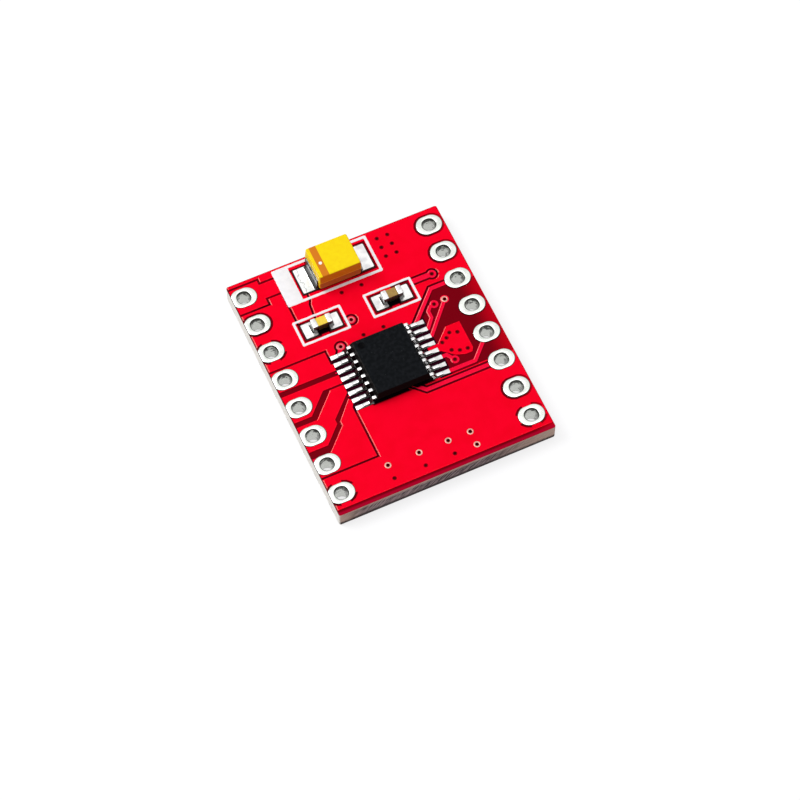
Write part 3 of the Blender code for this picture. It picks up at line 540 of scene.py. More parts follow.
class Effects:
    """The shader groups that the finishes share, each built once."""

    def __init__(self) -> None:
        """Builds every group."""
        self.grain = self.build_grain()
        self.mottle = self.build_mottle()
        self.specks = self.build_specks()
        self.upright = self.build_upright()
        self.facing = self.build_facing()
        self.boxed = self.build_boxed()

    def build_grain(self) -> bpy.types.NodeTree:
        """Fine unevenness: how rough a point is and how high it stands.

        Returns:
            The group.
        """
        inputs = {"Vector": "Vector", "Scale": "Float", "Roughness": "Float", "Spread": "Float"}
        effect = Effect("fine_grain", inputs, {"Roughness": "Float", "Height": "Float"})
        place, scale, roughness, spread = effect.given.values()
        fine = effect.grains(place, scale, 3.0)
        broad = effect.grains(place, effect.times(scale, 0.13), 2.0)
        both = effect.plus(effect.times(fine, 0.4), effect.times(broad, 0.6))
        swing = effect.times(effect.minus(both, 0.5), spread)
        return effect.done(Roughness=effect.plus(roughness, swing), Height=fine)

    def build_mottle(self) -> bpy.types.NodeTree:
        """A colour that drifts towards another in soft patches.

        Returns:
            The group.
        """
        inputs = {"Vector": "Vector", "Scale": "Float", "Colour": "Color", "Other": "Color"}
        effect = Effect("soft_mottle", inputs, {"Colour": "Color"})
        place, scale, colour, other = effect.given.values()
        share = effect.ramp(effect.grains(place, scale, 3.0), 0.35, 0.7)
        return effect.done(Colour=effect.blend(share, colour, other))

    def build_specks(self) -> bpy.types.NodeTree:
        """Sparse round specks, such as dust or pits.

        Returns:
            The group.
        """
        inputs = {"Vector": "Vector", "Scale": "Float", "Radius": "Float", "Share": "Float"}
        effect = Effect("round_specks", inputs, {"Mask": "Float"})
        place, scale, radius, share = effect.given.values()
        cells = effect.add("TexVoronoi", {"Vector": place, "Scale": scale})
        drawn = effect.add("SeparateColor", {"Color": cells.outputs["Color"]}).outputs[0]
        near = effect.under(cells.outputs["Distance"], radius)
        return effect.done(Mask=effect.times(near, effect.under(drawn, share)))

    def build_upright(self) -> bpy.types.NodeTree:
        """How steep a face is on the object: 0 where it lies flat and 1 where it stands upright.

        Returns:
            The group.
        """
        effect = Effect("steepness", {"From": "Float", "To": "Float"}, {"Mask": "Float"})
        steep = effect.minus(1.0, effect.size(effect.axes(effect.normal())[2]))
        return effect.done(Mask=effect.ramp(steep, *effect.given.values()))

    def build_facing(self) -> bpy.types.NodeTree:
        """How far a face is turned to a side of the object.

        Returns:
            The group.
        """
        inputs = {"Direction": "Vector", "From": "Float", "To": "Float"}
        effect = Effect("turned_to", inputs, {"Mask": "Float"})
        direction, low, high = effect.given.values()
        turned = effect.measure("DOT_PRODUCT", effect.normal(), direction)
        return effect.done(Mask=effect.ramp(turned, low, high))

    def build_boxed(self) -> bpy.types.NodeTree:
        """A soft rectangle in the plan, such as the painted shadow under a component.

        Returns:
            The group.
        """
        inputs = {"Vector": "Vector", "Centre": "Vector", "Half": "Vector", "Soft": "Float"}
        effect = Effect("soft_box", inputs, {"Mask": "Float"})
        place, centre, half, soft = effect.given.values()
        off = effect.vector("ABSOLUTE", effect.vector("SUBTRACT", place, centre))
        x, y, _ = effect.axes(effect.vector("SUBTRACT", off, half))
        return effect.done(Mask=effect.ramp(effect.larger(x, y), soft, 0.0))


EFFECTS = Effects()


# Finishes


@dataclass(frozen=True)
class Finish:
    """A surface finish: its name, the record's slot that it belongs to, and its look.

    Its grain and its relief are in millimetres, and its patches are some grains wide."""

    name: str
    slot: str
    colour: Colour
    other: Colour = (0.0, 0.0, 0.0)
    roughness: float = 0.4
    spread: float = 0.2
    grain_size: float = 0.08
    patch: int = 6
    relief: float = 0.004
    specular: float = 0.3
    metallic: float = 0.0

    def material(self) -> bpy.types.Material:
        """The finish's material, made when it is first asked for.

        Returns:
            The material.
        """
        found = bpy.data.materials.get(self.name)
        if found:
            return found
        made = bpy.data.materials.new(self.name)
        made.use_nodes = True
        graph = Graph(made.node_tree)
        shader = made.node_tree.nodes["Principled BSDF"]
        shader.inputs["Metallic"].default_value = self.metallic
        shader.inputs["Specular IOR Level"].default_value = self.specular
        place = graph.place()
        inputs = {"Vector": place, "Scale": 1 / (self.grain_size * MM), "Roughness": self.roughness,
                  "Spread": self.spread}
        grain = graph.group(EFFECTS.grain, inputs)
        graph.feed(shader.inputs["Base Color"], self.paint(graph, place))
        graph.feed(shader.inputs["Roughness"], grain.outputs["Roughness"])
        inputs = {"Height": grain.outputs["Height"], "Strength": 1.0, "Distance": self.relief * MM}
        bump = graph.add("Bump", inputs)
        graph.feed(shader.inputs["Normal"], bump.outputs["Normal"])
        self.add_coat(graph, shader)
        return made

    def add_coat(self, graph: Graph, shader: bpy.types.Node) -> None:
        """A gloss over the finish, here none."""

    def paint(self, graph: Graph, place: Socket) -> Socket:
        """The colour over the surface.

        Args:
            graph: The material's graph.
            place: Where a point is.

        Returns:
            A colour.
        """
        inputs = {"Vector": place, "Scale": 1 / (self.patch * self.grain_size * MM), "Colour": self.colour,
                  "Other": self.other}
        return graph.group(EFFECTS.mottle, inputs).outputs["Colour"]


@dataclass(frozen=True)
class Film(Finish):
    """Red solder mask, tinted where a track runs under it."""

    track: Colour = (0.98, 0.005, 0.050)
    track_share: float = 0.75

    def paint(self, graph: Graph, place: Socket) -> Socket:
        """The mottled red with its tracks."""
        share = graph.times(graph.layer("on_track"), self.track_share)
        return graph.blend(share, Finish.paint(self, graph, place), self.track)

    def outermost(self, graph: Graph, z: Socket, deep: float, shallow: float) -> Socket:
        """Where a point is near the film's outer faces, from 0 at one depth to 1 at a shallower one."""
        top = graph.ramp(z, (MASK_TOP - deep) * MM, (MASK_TOP - shallow) * MM)
        return graph.larger(top, graph.ramp(z, (MASK_BOTTOM + deep) * MM, (MASK_BOTTOM + shallow) * MM))


@dataclass(frozen=True)
class Lacquer(Film):
    """Solder mask, bright over copper and dark over bare laminate, with painted shade in narrow gaps, among
    the chip's leads and under components.
    """

    bare: Colour = (0.19, 0.0, 0.005)
    # Painted shade: narrow gaps near black where they run along Y, dark red where they run along X.
    gap: Colour = (0.015, 0.0, 0.002)
    cross_gap: Colour = (0.16, 0.0, 0.005)
    narrow: Flat = (0.15, 0.30)
    near_edge: Colour = (0.5, 0.0, 0.008)
    near_edge_from: float = 7.0
    strip: Colour = (0.45, 0.0, 0.024)
    strip_share: float = 0.8
    # Painted shadow: near black under the chip and the capacitors, in the soft boxes below.
    painted_shade: Colour = (0.004, 0.001, 0.002)
    painted_shade_soft: float = 0.13
    # Painted shade on the bare film among the chip's leads.
    lead_bed_shade: Colour = (0.022, 0.0, 0.006)
    lead_bed_shade_half: Flat = (3.86, 2.56)
    coat_steepness: Flat = (0.02, 0.25)
    coat_roughness: float = 0.12
    shaded: tuple[tuple[Flat, Flat], ...] = (
        ((CHIP_X, CHIP_Y), (2.42, 2.52)), ((TANTALUM_X, TANTALUM_Y + 0.12), (1.70, 1.30)),
        *(((x, CERAMIC_Y - 0.06), (0.42, 0.58)) for x in (CERAMIC_LEFT_X, CERAMIC_RIGHT_X)))

    def add_coat(self, graph: Graph, shader: bpy.types.Node) -> None:
        """A wet gloss where the film is steep."""
        graph.feed(shader.inputs["Coat Weight"], graph.steep(*self.coat_steepness))
        shader.inputs["Coat Roughness"].default_value = self.coat_roughness

    def paint(self, graph: Graph, place: Socket) -> Socket:
        """Colour by height over the laminate, then the painted shadow under components.

        Args:
            graph: The material's graph.
            place: Where a point is.

        Returns:
            A colour.
        """
        x, _, z = graph.axes(place)
        upper = graph.over(z, MID_BOARD * MM)
        copper = self.outermost(graph, z, 0.016, 0.002)
        film = graph.blend(copper, self.low_film(graph, place, x, upper), Film.paint(self, graph, place))
        # Painted shadow: the film turns near black in a soft box under each component.
        for centre, half in self.shaded:
            mask = self.box_mask(graph, place, centre, half, self.painted_shade_soft)
            film = graph.blend(graph.times(mask, upper), film, self.painted_shade)
        return film

    def low_film(self, graph: Graph, place: Socket, x: Socket, upper: Socket) -> Socket:
        """The film over bare laminate: painted shade by the gap's width and course, and lighter by nearness
        to the right edge.

        Args:
            graph: The material's graph.
            place: Where a point is.
            x: Its X.
            upper: 1 on the component side and 0 on the underside.

        Returns:
            A colour.
        """
        wide = graph.ramp(graph.layer("gap_width"), *self.narrow)
        # Painted shade in narrow gaps, by their width and course.
        narrow = graph.blend(graph.layer("gap_course"), self.cross_gap, self.gap)
        low_colour = graph.blend(wide, narrow, self.bare)
        lit = graph.ramp(x, self.near_edge_from * MM, BOARD_HALF_X * MM)
        low_colour = graph.blend(graph.times(lit, wide), low_colour, self.near_edge)
        strip = self.box_mask(graph, place, (0.0, 0.12 - BOARD_HALF_Y), (BOARD_HALF_X, 0.05), 0.16)
        low_colour = graph.blend(graph.times(strip, self.strip_share), low_colour, self.strip)
        # Painted shade: the bare film among the chip's leads turns near black.
        lead_bed_shade = self.box_mask(graph, place, (CHIP_X, CHIP_Y), self.lead_bed_shade_half, 0.12)
        return graph.blend(graph.times(lead_bed_shade, upper), low_colour, self.lead_bed_shade)

    def box_mask(self, graph: Graph, place: Socket, centre: Flat, half: Flat, soft: float) -> Socket:
        """A soft rectangle of the plan, in millimetres.

        Args:
            graph: The material's graph.
            place: Where a point is.
            centre: The rectangle's middle.
            half: Half of its length and width.
            soft: How far outside it the value falls to 0.

        Returns:
            A value.
        """
        inputs = {"Vector": place, "Centre": (centre[0] * MM, centre[1] * MM, 0.0),
                  "Half": (half[0] * MM, half[1] * MM, 0.0), "Soft": soft * MM}
        return graph.group(EFFECTS.boxed, inputs).outputs["Mask"]


@dataclass(frozen=True)
class FilmEdge(Film):
    """The film's round shoulder over the edge of the copper, with a painted highlight where it is turned to
    the left and painted shade at its foot.
    """

    # Painted highlight on the left flank, and painted shade at the shoulder's foot.
    lit: Colour = (0.85, 0.52, 0.45)
    lit_share: float = 0.95
    foot: Colour = (0.05, 0.0, 0.003)

    def paint(self, graph: Graph, place: Socket) -> Socket:
        """Bright crest, painted highlight on the left flank and painted shade at the foot.

        Args:
            graph: The material's graph.
            place: Where a point is.

        Returns:
            A colour.
        """
        # Painted highlight on the left flank, painted shade at the foot.
        left = graph.times(graph.ramp(graph.layer("left_flank"), 0.15, 0.55), self.lit_share)
        crest = graph.blend(left, Film.paint(self, graph, place), self.lit)
        high = self.outermost(graph, graph.axes(place)[2], 0.034, 0.018)
        return graph.blend(high, self.foot, crest)


@dataclass(frozen=True)
class Laminate(Finish):
    """Sawn glass-fibre laminate: tan at the top and the ends, striped in the middle, dark below."""

    glass: Colour = (0.032, 0.017, 0.026)
    tan: Colour = (0.68, 0.47, 0.38)
    lit_left_side: Colour = (0.96, 0.93, 0.87)
    rim: Colour = (0.035, 0.02, 0.02)
    film: Colour = (0.50, 0.05, 0.07)
    left_film: Colour = (0.04, 0.01, 0.012)
    saw_size: float = 0.22
    saw_slant: float = math.radians(52)
    ply_size: float = 1.6
    tan_z: Flat = (1.10, 1.52)
    tan_left_x: float = -6.4
    tan_right_x: float = 2.5
    rim_z: Flat = (0.55, 0.24)
    film_z: Flat = (1.555, 1.575)

    def paint(self, graph: Graph, place: Socket) -> Socket:
        """Plies and slanted saw marks, with painted light making the board's left side nearly white.

        Args:
            graph: The material's graph.
            place: Where a point is.

        Returns:
            A colour.
        """
        x, _, z = graph.axes(place)
        slant = graph.add("Mapping", {"Vector": place, "Rotation": (0.0, self.saw_slant, 0.0)}).outputs[0]
        saw = graph.noise(slant, self.saw_size, (0.12, 1.0, 2.6))
        plies = graph.noise(place, self.ply_size, (0.25, 0.25, 9.0))
        marks = graph.plus(graph.times(saw, 0.7), graph.times(plies, 0.3))
        body = graph.blend(graph.ramp(marks, 0.42, 0.56), self.colour, self.glass)
        body = graph.blend(self.tanned(graph, x, z), body, self.tan)
        ragged = graph.plus(z, graph.times(graph.minus(saw, 0.5), 0.5 * MM))
        body = graph.blend(self.by_height(graph, ragged, self.rim_z), body, self.rim)
        # Painted light: the side turned to the left is painted nearly white.
        left = graph.turned(TO_LEFT, 0.5, 0.9)
        lit_left = graph.blend(graph.ramp(marks, 0.5, 0.8, (0.0, 0.12)), self.lit_left_side, self.colour)
        raised = graph.plus(z, graph.times(left, 0.07 * MM))
        return graph.blend(self.by_height(graph, raised, self.film_z), graph.blend(left, body, lit_left),
                           graph.blend(left, self.film, self.left_film))

    def tanned(self, graph: Graph, x: Socket, z: Socket) -> Socket:
        """How tan the laminate is: more at its top and at its two ends.

        Args:
            graph: The material's graph.
            x: A point's X.
            z: Its height.

        Returns:
            A share.
        """
        ends = graph.larger(graph.ramp(x, self.tan_left_x * MM, -BOARD_HALF_X * MM),
                            graph.ramp(x, self.tan_right_x * MM, BOARD_HALF_X * MM))
        top = self.by_height(graph, z, self.tan_z)
        return graph.larger(graph.times(top, 0.7), graph.times(ends, 0.8))

    def by_height(self, graph: Graph, z: Socket, heights: Flat) -> Socket:
        """A share that goes from 0 at one height to 1 at another."""
        return graph.ramp(z, heights[0] * MM, heights[1] * MM)


@dataclass(frozen=True)
class Tin(Finish):
    """Bright tin or solder, with a painted dark reflection where it is steep."""

    dark: Colour = (0.02, 0.02, 0.02)
    dark_share: float = 0.95
    dark_steepness: Flat = (0.10, 0.30)
    flow_share: float = 0.0
    flow_pitch: float = 0.85
    flow_warp: float = 0.9

    def paint(self, graph: Graph, place: Socket) -> Socket:
        """Tin with thin flow lines, and a painted dark reflection on steep faces.

        Args:
            graph: The material's graph.
            place: Where a point is.

        Returns:
            A colour.
        """
        stripes = graph.math("DIVIDE", graph.axes(place)[0], self.flow_pitch * MM)
        warp = graph.times(graph.noise(place, 0.45), self.flow_warp)
        off = graph.minus(graph.math("FRACT", graph.plus(stripes, warp)), 0.5)
        line = graph.times(graph.ramp(graph.size(off), 0.05, 0.02), self.flow_share)
        flat = graph.blend(line, Finish.paint(self, graph, place), self.dark)
        # Painted reflection: steep faces turn dark, less so where turned to the far right.
        share = graph.spread(graph.turned(TO_FAR_RIGHT, 0.1, 0.5), self.dark_share, 0.5 * self.dark_share)
        return graph.blend(graph.times(graph.steep(*self.dark_steepness), share), flat, self.dark)


@dataclass(frozen=True)
class HoleTin(Finish):
    """Levelled tin of a header hole: a bright land with painted shade at its edge and round the bore, and a
    grey barrel with ragged painted shade.
    """

    barrel: Colour = (0.60, 0.62, 0.58)
    # Painted shade: dark at the land's outer edge and round the bore's rim.
    outline: Colour = (0.05, 0.04, 0.04)
    rim_shade: Colour = (0.09, 0.09, 0.085)
    rim_shade_share: Flat = (0.21, 0.10)
    edge_shade_share: Flat = (0.86, 0.94)
    shade_noise_size: float = 0.3
    shade_reach: float = 2.4
    shade_z: Flat = (1.15, 1.42)
    shade_across: Flat = (0.78, 0.98)
    side_shade: float = 0.75

    def paint(self, graph: Graph, place: Socket) -> Socket:
        """Barrel, painted shade round the bore, land and painted shade at its edge, by how far a point is
        from the bore to the land's edge.

        Args:
            graph: The material's graph.
            place: Where a point is.

        Returns:
            A colour.
        """
        share = graph.layer("land_share")
        flat = graph.blend(graph.ramp(share, *self.rim_shade_share), Finish.paint(self, graph, place), self.rim_shade)
        flat = graph.blend(graph.ramp(share, *self.edge_shade_share), flat, self.outline)
        wall = graph.blend(self.barrel_shade(graph, place), self.barrel, self.rim_shade)
        return graph.blend(graph.under(share, 0.01), flat, wall)

    def barrel_shade(self, graph: Graph, place: Socket) -> Socket:
        """Ragged painted shade below the barrel's rim and at its left and right.

        Args:
            graph: The material's graph.
            place: Where a point is.

        Returns:
            A share.
        """
        shade_noise = graph.minus(graph.noise(place, self.shade_noise_size), 0.5)
        ragged = graph.plus(graph.axes(place)[2], graph.times(shade_noise, self.shade_reach * MM))
        across = graph.plus(graph.size(graph.axes(graph.normal())[0]), shade_noise)
        sides = graph.ramp(across, *self.shade_across, (0.0, self.side_shade))
        return graph.larger(graph.ramp(ragged, self.shade_z[0] * MM, self.shade_z[1] * MM), sides)


@dataclass(frozen=True)
class Case(Finish):
    """The tantalum's moulded epoxy: golden on top, amber at its sides partly as painted shade, with a
    polarity band.
    """

    # Painted shade: the sides are darker than the top, the lower half most.
    side: Colour = (0.68, 0.21, 0.008)
    low_side_shade: Colour = (0.46, 0.12, 0.005)
    band: Colour = (0.68, 0.20, 0.01)
    band_x: Flat = (-2.11, -1.57)
    dot: Colour = (0.95, 0.95, 0.9)
    dot_at: Place = (-1.81, 8.31, 3.62)
    dot_radius: float = 0.13
    seam: Colour = (0.80, 0.34, 0.04)
    seam_z: float = 2.75
    seam_half: Flat = (0.05, 0.02)

    def paint(self, graph: Graph, place: Socket) -> Socket:
        """Top, band and dot, then the two halves of the sides, the lower one darker as painted shade, the
        mould's seam, and painted light that keeps the left side golden.

        Args:
            graph: The material's graph.
            place: Where a point is.

        Returns:
            A colour.
        """
        golden = Finish.paint(self, graph, place)
        x, _, z = graph.axes(place)
        inside = graph.times(graph.over(x, self.band_x[0] * MM), graph.under(x, self.band_x[1] * MM))
        reach = graph.measure("DISTANCE", place, tuple(axis * MM for axis in self.dot_at))
        spot = graph.under(reach, self.dot_radius * MM)
        top = graph.blend(spot, graph.blend(inside, golden, self.band), self.dot)
        off = graph.minus(z, self.seam_z * MM)
        outer, inner = (half * MM for half in self.seam_half)
        side = graph.blend(graph.ramp(off, -outer, outer), self.low_side_shade, self.side)
        side = graph.blend(graph.ramp(graph.size(off), outer, inner), side, self.seam)
        # Painted light: the side turned to the left stays golden.
        side = graph.blend(graph.turned(TO_LEFT, 0.5, 0.9), side, golden)
        return graph.blend(graph.steep(0.3, 0.75), top, side)


@dataclass(frozen=True)
class Speckled(Finish):
    """A finish with round specks of another colour, with painted shade on its sides and a painted highlight
    at its left edge.
    """

    speck: Colour = (0.5, 0.5, 0.5)
    speck_size: float = 0.12
    speck_radius: float = 0.25
    speck_chance: float = 0.1
    speck_share: float = 0.6
    # Painted shade on the steep sides, and a painted highlight on the top's edge turned to the left.
    side: Colour = (0.0, 0.0, 0.0)
    side_shade_share: float = 0.9
    left_edge_highlight: Colour = (0.035, 0.036, 0.032)
    left_edge_highlight_share: float = 0.0

    def paint(self, graph: Graph, place: Socket) -> Socket:
        """The mottled colour with its specks, painted shade on its sides and a painted highlight at its left
        edge.

        Args:
            graph: The material's graph.
            place: Where a point is.

        Returns:
            A colour.
        """
        inputs = {"Vector": place, "Scale": 1 / (self.speck_size * MM), "Radius": self.speck_radius,
                  "Share": self.speck_chance}
        mask = graph.group(EFFECTS.specks, inputs).outputs["Mask"]
        base = graph.blend(graph.times(mask, self.speck_share), Finish.paint(self, graph, place), self.speck)
        steep = graph.steep(0.35, 0.7)
        base = graph.blend(graph.times(steep, self.side_shade_share), base, self.side)
        # Painted highlight: the top's edge turned to the left is lighter.
        edge = graph.times(graph.turned(TO_LEFT, 0.15, 0.5), graph.minus(1.0, steep))
        return graph.blend(graph.times(edge, self.left_edge_highlight_share), base, self.left_edge_highlight)


LACQUER = Lacquer("red_lacquer", "solder_mask", (0.98, 0.0, 0.019), (0.93, 0.0, 0.015),
                  roughness=0.22, spread=0.12, grain_size=0.25, relief=0.002, specular=0.02)
FILM_EDGE = FilmEdge("film_shoulder", "solder_mask", (0.96, 0.0, 0.018), (0.90, 0.0, 0.014),
                     roughness=0.25, grain_size=0.2, relief=0.001, specular=0.1)
EDGE = Laminate("sawn_laminate", "solder_mask", (0.40, 0.29, 0.29),
                roughness=0.7, grain_size=0.1, relief=0.01, specular=0.2)
PLATING = HoleTin("levelled_tin", "tinned_copper", (0.84, 0.87, 0.82), (0.70, 0.74, 0.69),
                  roughness=0.25, spread=0.25, grain_size=0.10, relief=0.006, metallic=1.0)
RING = Finish("via_ring", "tinned_copper", (0.66, 0.42, 0.34), (0.50, 0.30, 0.24),
              roughness=0.4, grain_size=0.05, relief=0.003, metallic=0.6)
# The film over a via's ring; its pink is partly a painted sheen of the film's bump.
PINK_RING = Finish("lacquered_ring", "solder_mask", (0.80, 0.22, 0.24), (0.70, 0.10, 0.12),
                   roughness=0.3, grain_size=0.05, relief=0.003, specular=0.2)
VIA_RED = Finish("via_lacquer", "solder_mask", (0.45, 0.0, 0.010), (0.30, 0.0, 0.007),
                 roughness=0.25, grain_size=0.1, relief=0.002, specular=0.02)
# Painted shade: near black standing in for the inside of an open via's hole.
VIA_DARK = Finish("via_hole", "solder_mask", (0.020, 0.002, 0.002), (0.010, 0.001, 0.001),
                  roughness=0.5, grain_size=0.05, specular=0.02)
VIA_DIM = Finish("via_dimple", "solder_mask", (0.085, 0.004, 0.004), (0.05, 0.002, 0.002),
                 roughness=0.5, grain_size=0.05, specular=0.02)
LEAD = Tin("plated_lead", "tinned_lead", (0.86, 0.85, 0.85), (0.66, 0.66, 0.67),
           roughness=0.28, grain_size=0.06, relief=0.003, metallic=1.0, dark_steepness=(0.12, 0.35))
SOLDER = Tin("solder", "tinned_lead", (0.87, 0.87, 0.85), (0.66, 0.65, 0.66),
             roughness=0.3, grain_size=0.1, metallic=1.0, dark_steepness=(0.08, 0.26))
FLOWED = Tin("flowed_solder", "tinned_lead", (0.92, 0.93, 0.92), (0.80, 0.82, 0.82),
             roughness=0.3, grain_size=0.1, metallic=1.0, dark_steepness=(0.08, 0.24), flow_share=0.4)
# Painted shade: the lands' sides and chamfers near black.
LAND_EDGE_SHADE = Finish("land_edge_shade", "tinned_lead", (0.012, 0.012, 0.012), (0.03, 0.03, 0.028),
                  roughness=0.5, grain_size=0.06, relief=0.003, specular=0.1)
# The end strap's tin is dark, lighter in patches.
STRAP = Tin("dark_strap", "tinned_lead", (0.03, 0.03, 0.028), (0.30, 0.30, 0.28),
            roughness=0.35, grain_size=0.05, relief=0.005, metallic=0.8, dark_steepness=(0.2, 0.5))
EPOXY = Speckled("black_epoxy", "moulding_compound", (0.0030, 0.0038, 0.0048), (0.0080, 0.0090, 0.0110),
                 roughness=0.5, grain_size=0.045, specular=0.03, speck=(0.03, 0.031, 0.035),
                 speck_size=0.16, speck_chance=0.08, side=(0.0015, 0.0015, 0.0015), left_edge_highlight_share=0.9)
MARK_EPOXY = Finish("dished_epoxy", "moulding_compound", (0.0015, 0.0015, 0.002), (0.0025, 0.0025, 0.003),
                    grain_size=0.05, relief=0.002, specular=0.02)
GOLDEN = Case("golden_epoxy", "tantalum_case", (0.96, 0.72, 0.002), (0.94, 0.67, 0.0015),
              roughness=0.45, grain_size=0.06, relief=0.005, specular=0.12)
CERAMIC_GOLD = Speckled("ceramic_gold", "ceramic_left", (0.93, 0.68, 0.065), (0.86, 0.60, 0.055),
                        grain_size=0.04, relief=0.003, speck=(0.5, 0.32, 0.05), speck_size=0.08,
                        side=(0.010, 0.005, 0.003), side_shade_share=0.97)
CERAMIC_BROWN = Speckled("ceramic_brown", "ceramic_right", (0.40, 0.25, 0.060), (0.34, 0.19, 0.048),
                         grain_size=0.04, relief=0.003, speck=(0.20, 0.10, 0.04), speck_size=0.08,
                         side=(0.006, 0.004, 0.003), side_shade_share=0.97)
INK = Finish("printed_ink", "white_ink", (0.92, 0.91, 0.94), (0.88, 0.87, 0.90),
             roughness=0.6, grain_size=0.07, relief=0.003, specular=0.2)


# The board


@dataclass
class CircuitBoard:
    """The board, from its packed relief, and the film's round shoulders over the copper.

    A shoulder's section is given by how far each point is outside the copper's edge, how far it is above the
    film, and how much of the flank's painted highlight it takes."""

    longest_gap: float = 3.0
    widest_track: float = 0.5
    opening: float = 0.16
    via_reach: float = 0.22
    open_rings: tuple[Flat, ...] = ((4.89, 2.615), (5.79, 2.685), (4.32, -2.265))
    open_ring_reach: float = 0.5
    steepest_level: float = 0.1
    deepest_gap: float = 0.1
    film: float = 0.02
    ray_start: float = 1e-3
    shoulder: tuple[Place, ...] = ((0.003, -0.036, 1.0), (0.003, -0.018, 1.0), (-0.012, -0.005, 1.0),
                                   (-0.044, 0.0008, 1.0), (-0.068, 0.0015, 0.0), (-0.070, -0.002, 0.0))

    def build(self) -> None:
        """Dresses the relief, notes where its gaps and tracks are, and rounds the film."""
        work = bmesh.new()
        work.from_mesh(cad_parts["board"].data)
        work.transform(Matrix.Scale(1 / MM, 4))
        bmesh.ops.remove_doubles(work, verts=work.verts, dist=TINY)
        bmesh.ops.dissolve_limit(work, angle_limit=math.radians(0.5), verts=work.verts, edges=work.edges)
        self.mark_gaps(work)
        self.mark_tracks(work)
        self.build_shoulders(work)
        for face in work.faces:
            face.material_index = int(self.is_sawn(face))
        MeshWork(work).placed("circuit_board", (LACQUER, EDGE), ["board"], 1.0)

    def build_shoulders(self, relief: bmesh.types.BMesh) -> None:
        """Rounds the film along the copper's edges, apart from the openings round the lands.

        Args:
            relief: The board's relief.
        """
        boxes = self.open_boxes()
        outward: dict[Vertex, list[Vector]] = {}
        walls = []
        for edge in relief.edges:
            wall = self.wall_of(edge)
            if wall is None or self.is_left_out((edge.verts[0].co + edge.verts[1].co) / 2, boxes):
                continue
            walls.append((edge, wall.normal.copy()))
            for vertex in edge.verts:
                outward.setdefault(vertex, []).append(wall.normal.copy())
        work = MeshWork()
        for name in ("left_flank", "on_track"):
            work.work.verts.layers.float.new(name)
        marks = relief.faces.layers.float["on_track"]
        for edge, normal in walls:
            flank = max(min(normal.y, 0.0) - normal.x, 0.0)
            track = max(face[marks] for face in edge.link_faces)
            first, second = (self.shoulder_at(work, v.co, outward[v], flank, track) for v in edge.verts)
            for i in range(len(first) - 1):
                work.face((first[i], second[i], second[i + 1], first[i + 1]))
        work.placed("film_shoulders", (FILM_EDGE,), [], 60.0)

    def open_boxes(self) -> list[tuple[Flat, Flat]]:
        """The plan boxes in which the film's edge stays sharp.

        Returns:
            Each box's lowest and highest corner.
        """
        edge, words = self.opening, ("land", "lead", "hole")
        lands = [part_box(name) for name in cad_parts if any(word in name for word in words)]
        boxes = [((low.x / MM - edge, low.y / MM - edge), (high.x / MM + edge, high.y / MM + edge))
                 for low, high in lands]
        places = [((CHIP_X, CHIP_Y), LACQUER.lead_bed_shade_half)]
        places += [(at, (self.via_reach, self.via_reach)) for at in sum(VIA_PLACES.values(), [])]
        return boxes + [((x - half_x, y - half_y), (x + half_x, y + half_y))
                        for (x, y), (half_x, half_y) in places]

    def is_left_out(self, point: Vector, boxes: Sequence[tuple[Flat, Flat]]) -> bool:
        """Whether the film's edge stays sharp at a point.

        Args:
            point: The point.
            boxes: The boxes in which it does.

        Returns:
            True in a box and on the board's outline.
        """
        if abs(point.x) > BOARD_HALF_X - self.film or abs(point.y) > BOARD_HALF_Y - self.film:
            return True
        return any(low[0] < point.x < high[0] and low[1] < point.y < high[1] for low, high in boxes)

    def shoulder_at(self, work: MeshWork, point: Vector, normals: Sequence[Vector], flank: float,
                    track: float) -> list[Vertex]:
        """The shoulder's section at a corner of the copper.

        Args:
            work: The mesh.
            point: The corner.
            normals: The outward directions of the walls that meet there.
            flank: How far the edge that the section is for is turned to the left.
            track: 1 on a track and 0 elsewhere.

        Returns:
            The section's vertices.
        """
        total = sum(normals, Vector())
        mitre = total / max(total.length_squared / len(normals), 0.5)
        up = 1 if point.z > CORE_TOP else -1
        ring = work.ring([(point.x + mitre.x * off, point.y + mitre.y * off, point.z + up * rise)
                          for off, rise, _ in self.shoulder])
        layers = work.work.verts.layers.float
        for vertex, (_, _, share) in zip(ring, self.shoulder):
            vertex[layers["left_flank"]] = flank * share
            vertex[layers["on_track"]] = track
        return ring

    def wall_of(self, edge: bmesh.types.BMEdge) -> bmesh.types.BMFace | None:
        """The wall below an upper edge of a copper area.

        Args:
            edge: Any edge of the relief.

        Returns:
            The upright face, or nothing at any other edge.
        """
        heights = {round(v.co.z, 3) for v in edge.verts}
        if heights not in ({MASK_TOP}, {MASK_BOTTOM}) or len(edge.link_faces) != 2:
            return None
        upright = [face for face in edge.link_faces if self.is_upright(face) and self.depth(face) > self.film]
        return upright[0] if len(upright) == 1 else None

    def is_upright(self, face: bmesh.types.BMFace) -> bool:
        """Whether a face stands upright."""
        return abs(face.normal.z) < self.steepest_level

    def depth(self, face: bmesh.types.BMFace) -> float:
        """How far a face reaches along Z."""
        heights = [v.co.z for v in face.verts]
        return max(heights) - min(heights)

    def is_sawn(self, face: bmesh.types.BMFace) -> bool:
        """Whether a face is an outer side of the laminate or the wall of a hole."""
        heights = [v.co.z for v in face.verts]
        return self.is_upright(face) and min(heights) < MID_BOARD < max(heights)

    def is_copper_top(self, face: bmesh.types.BMFace) -> bool:
        """Whether a face is the level top of a copper area on the component side."""
        return face.normal.z > 0.9 and all(abs(v.co.z - MASK_TOP) < 0.002 for v in face.verts)

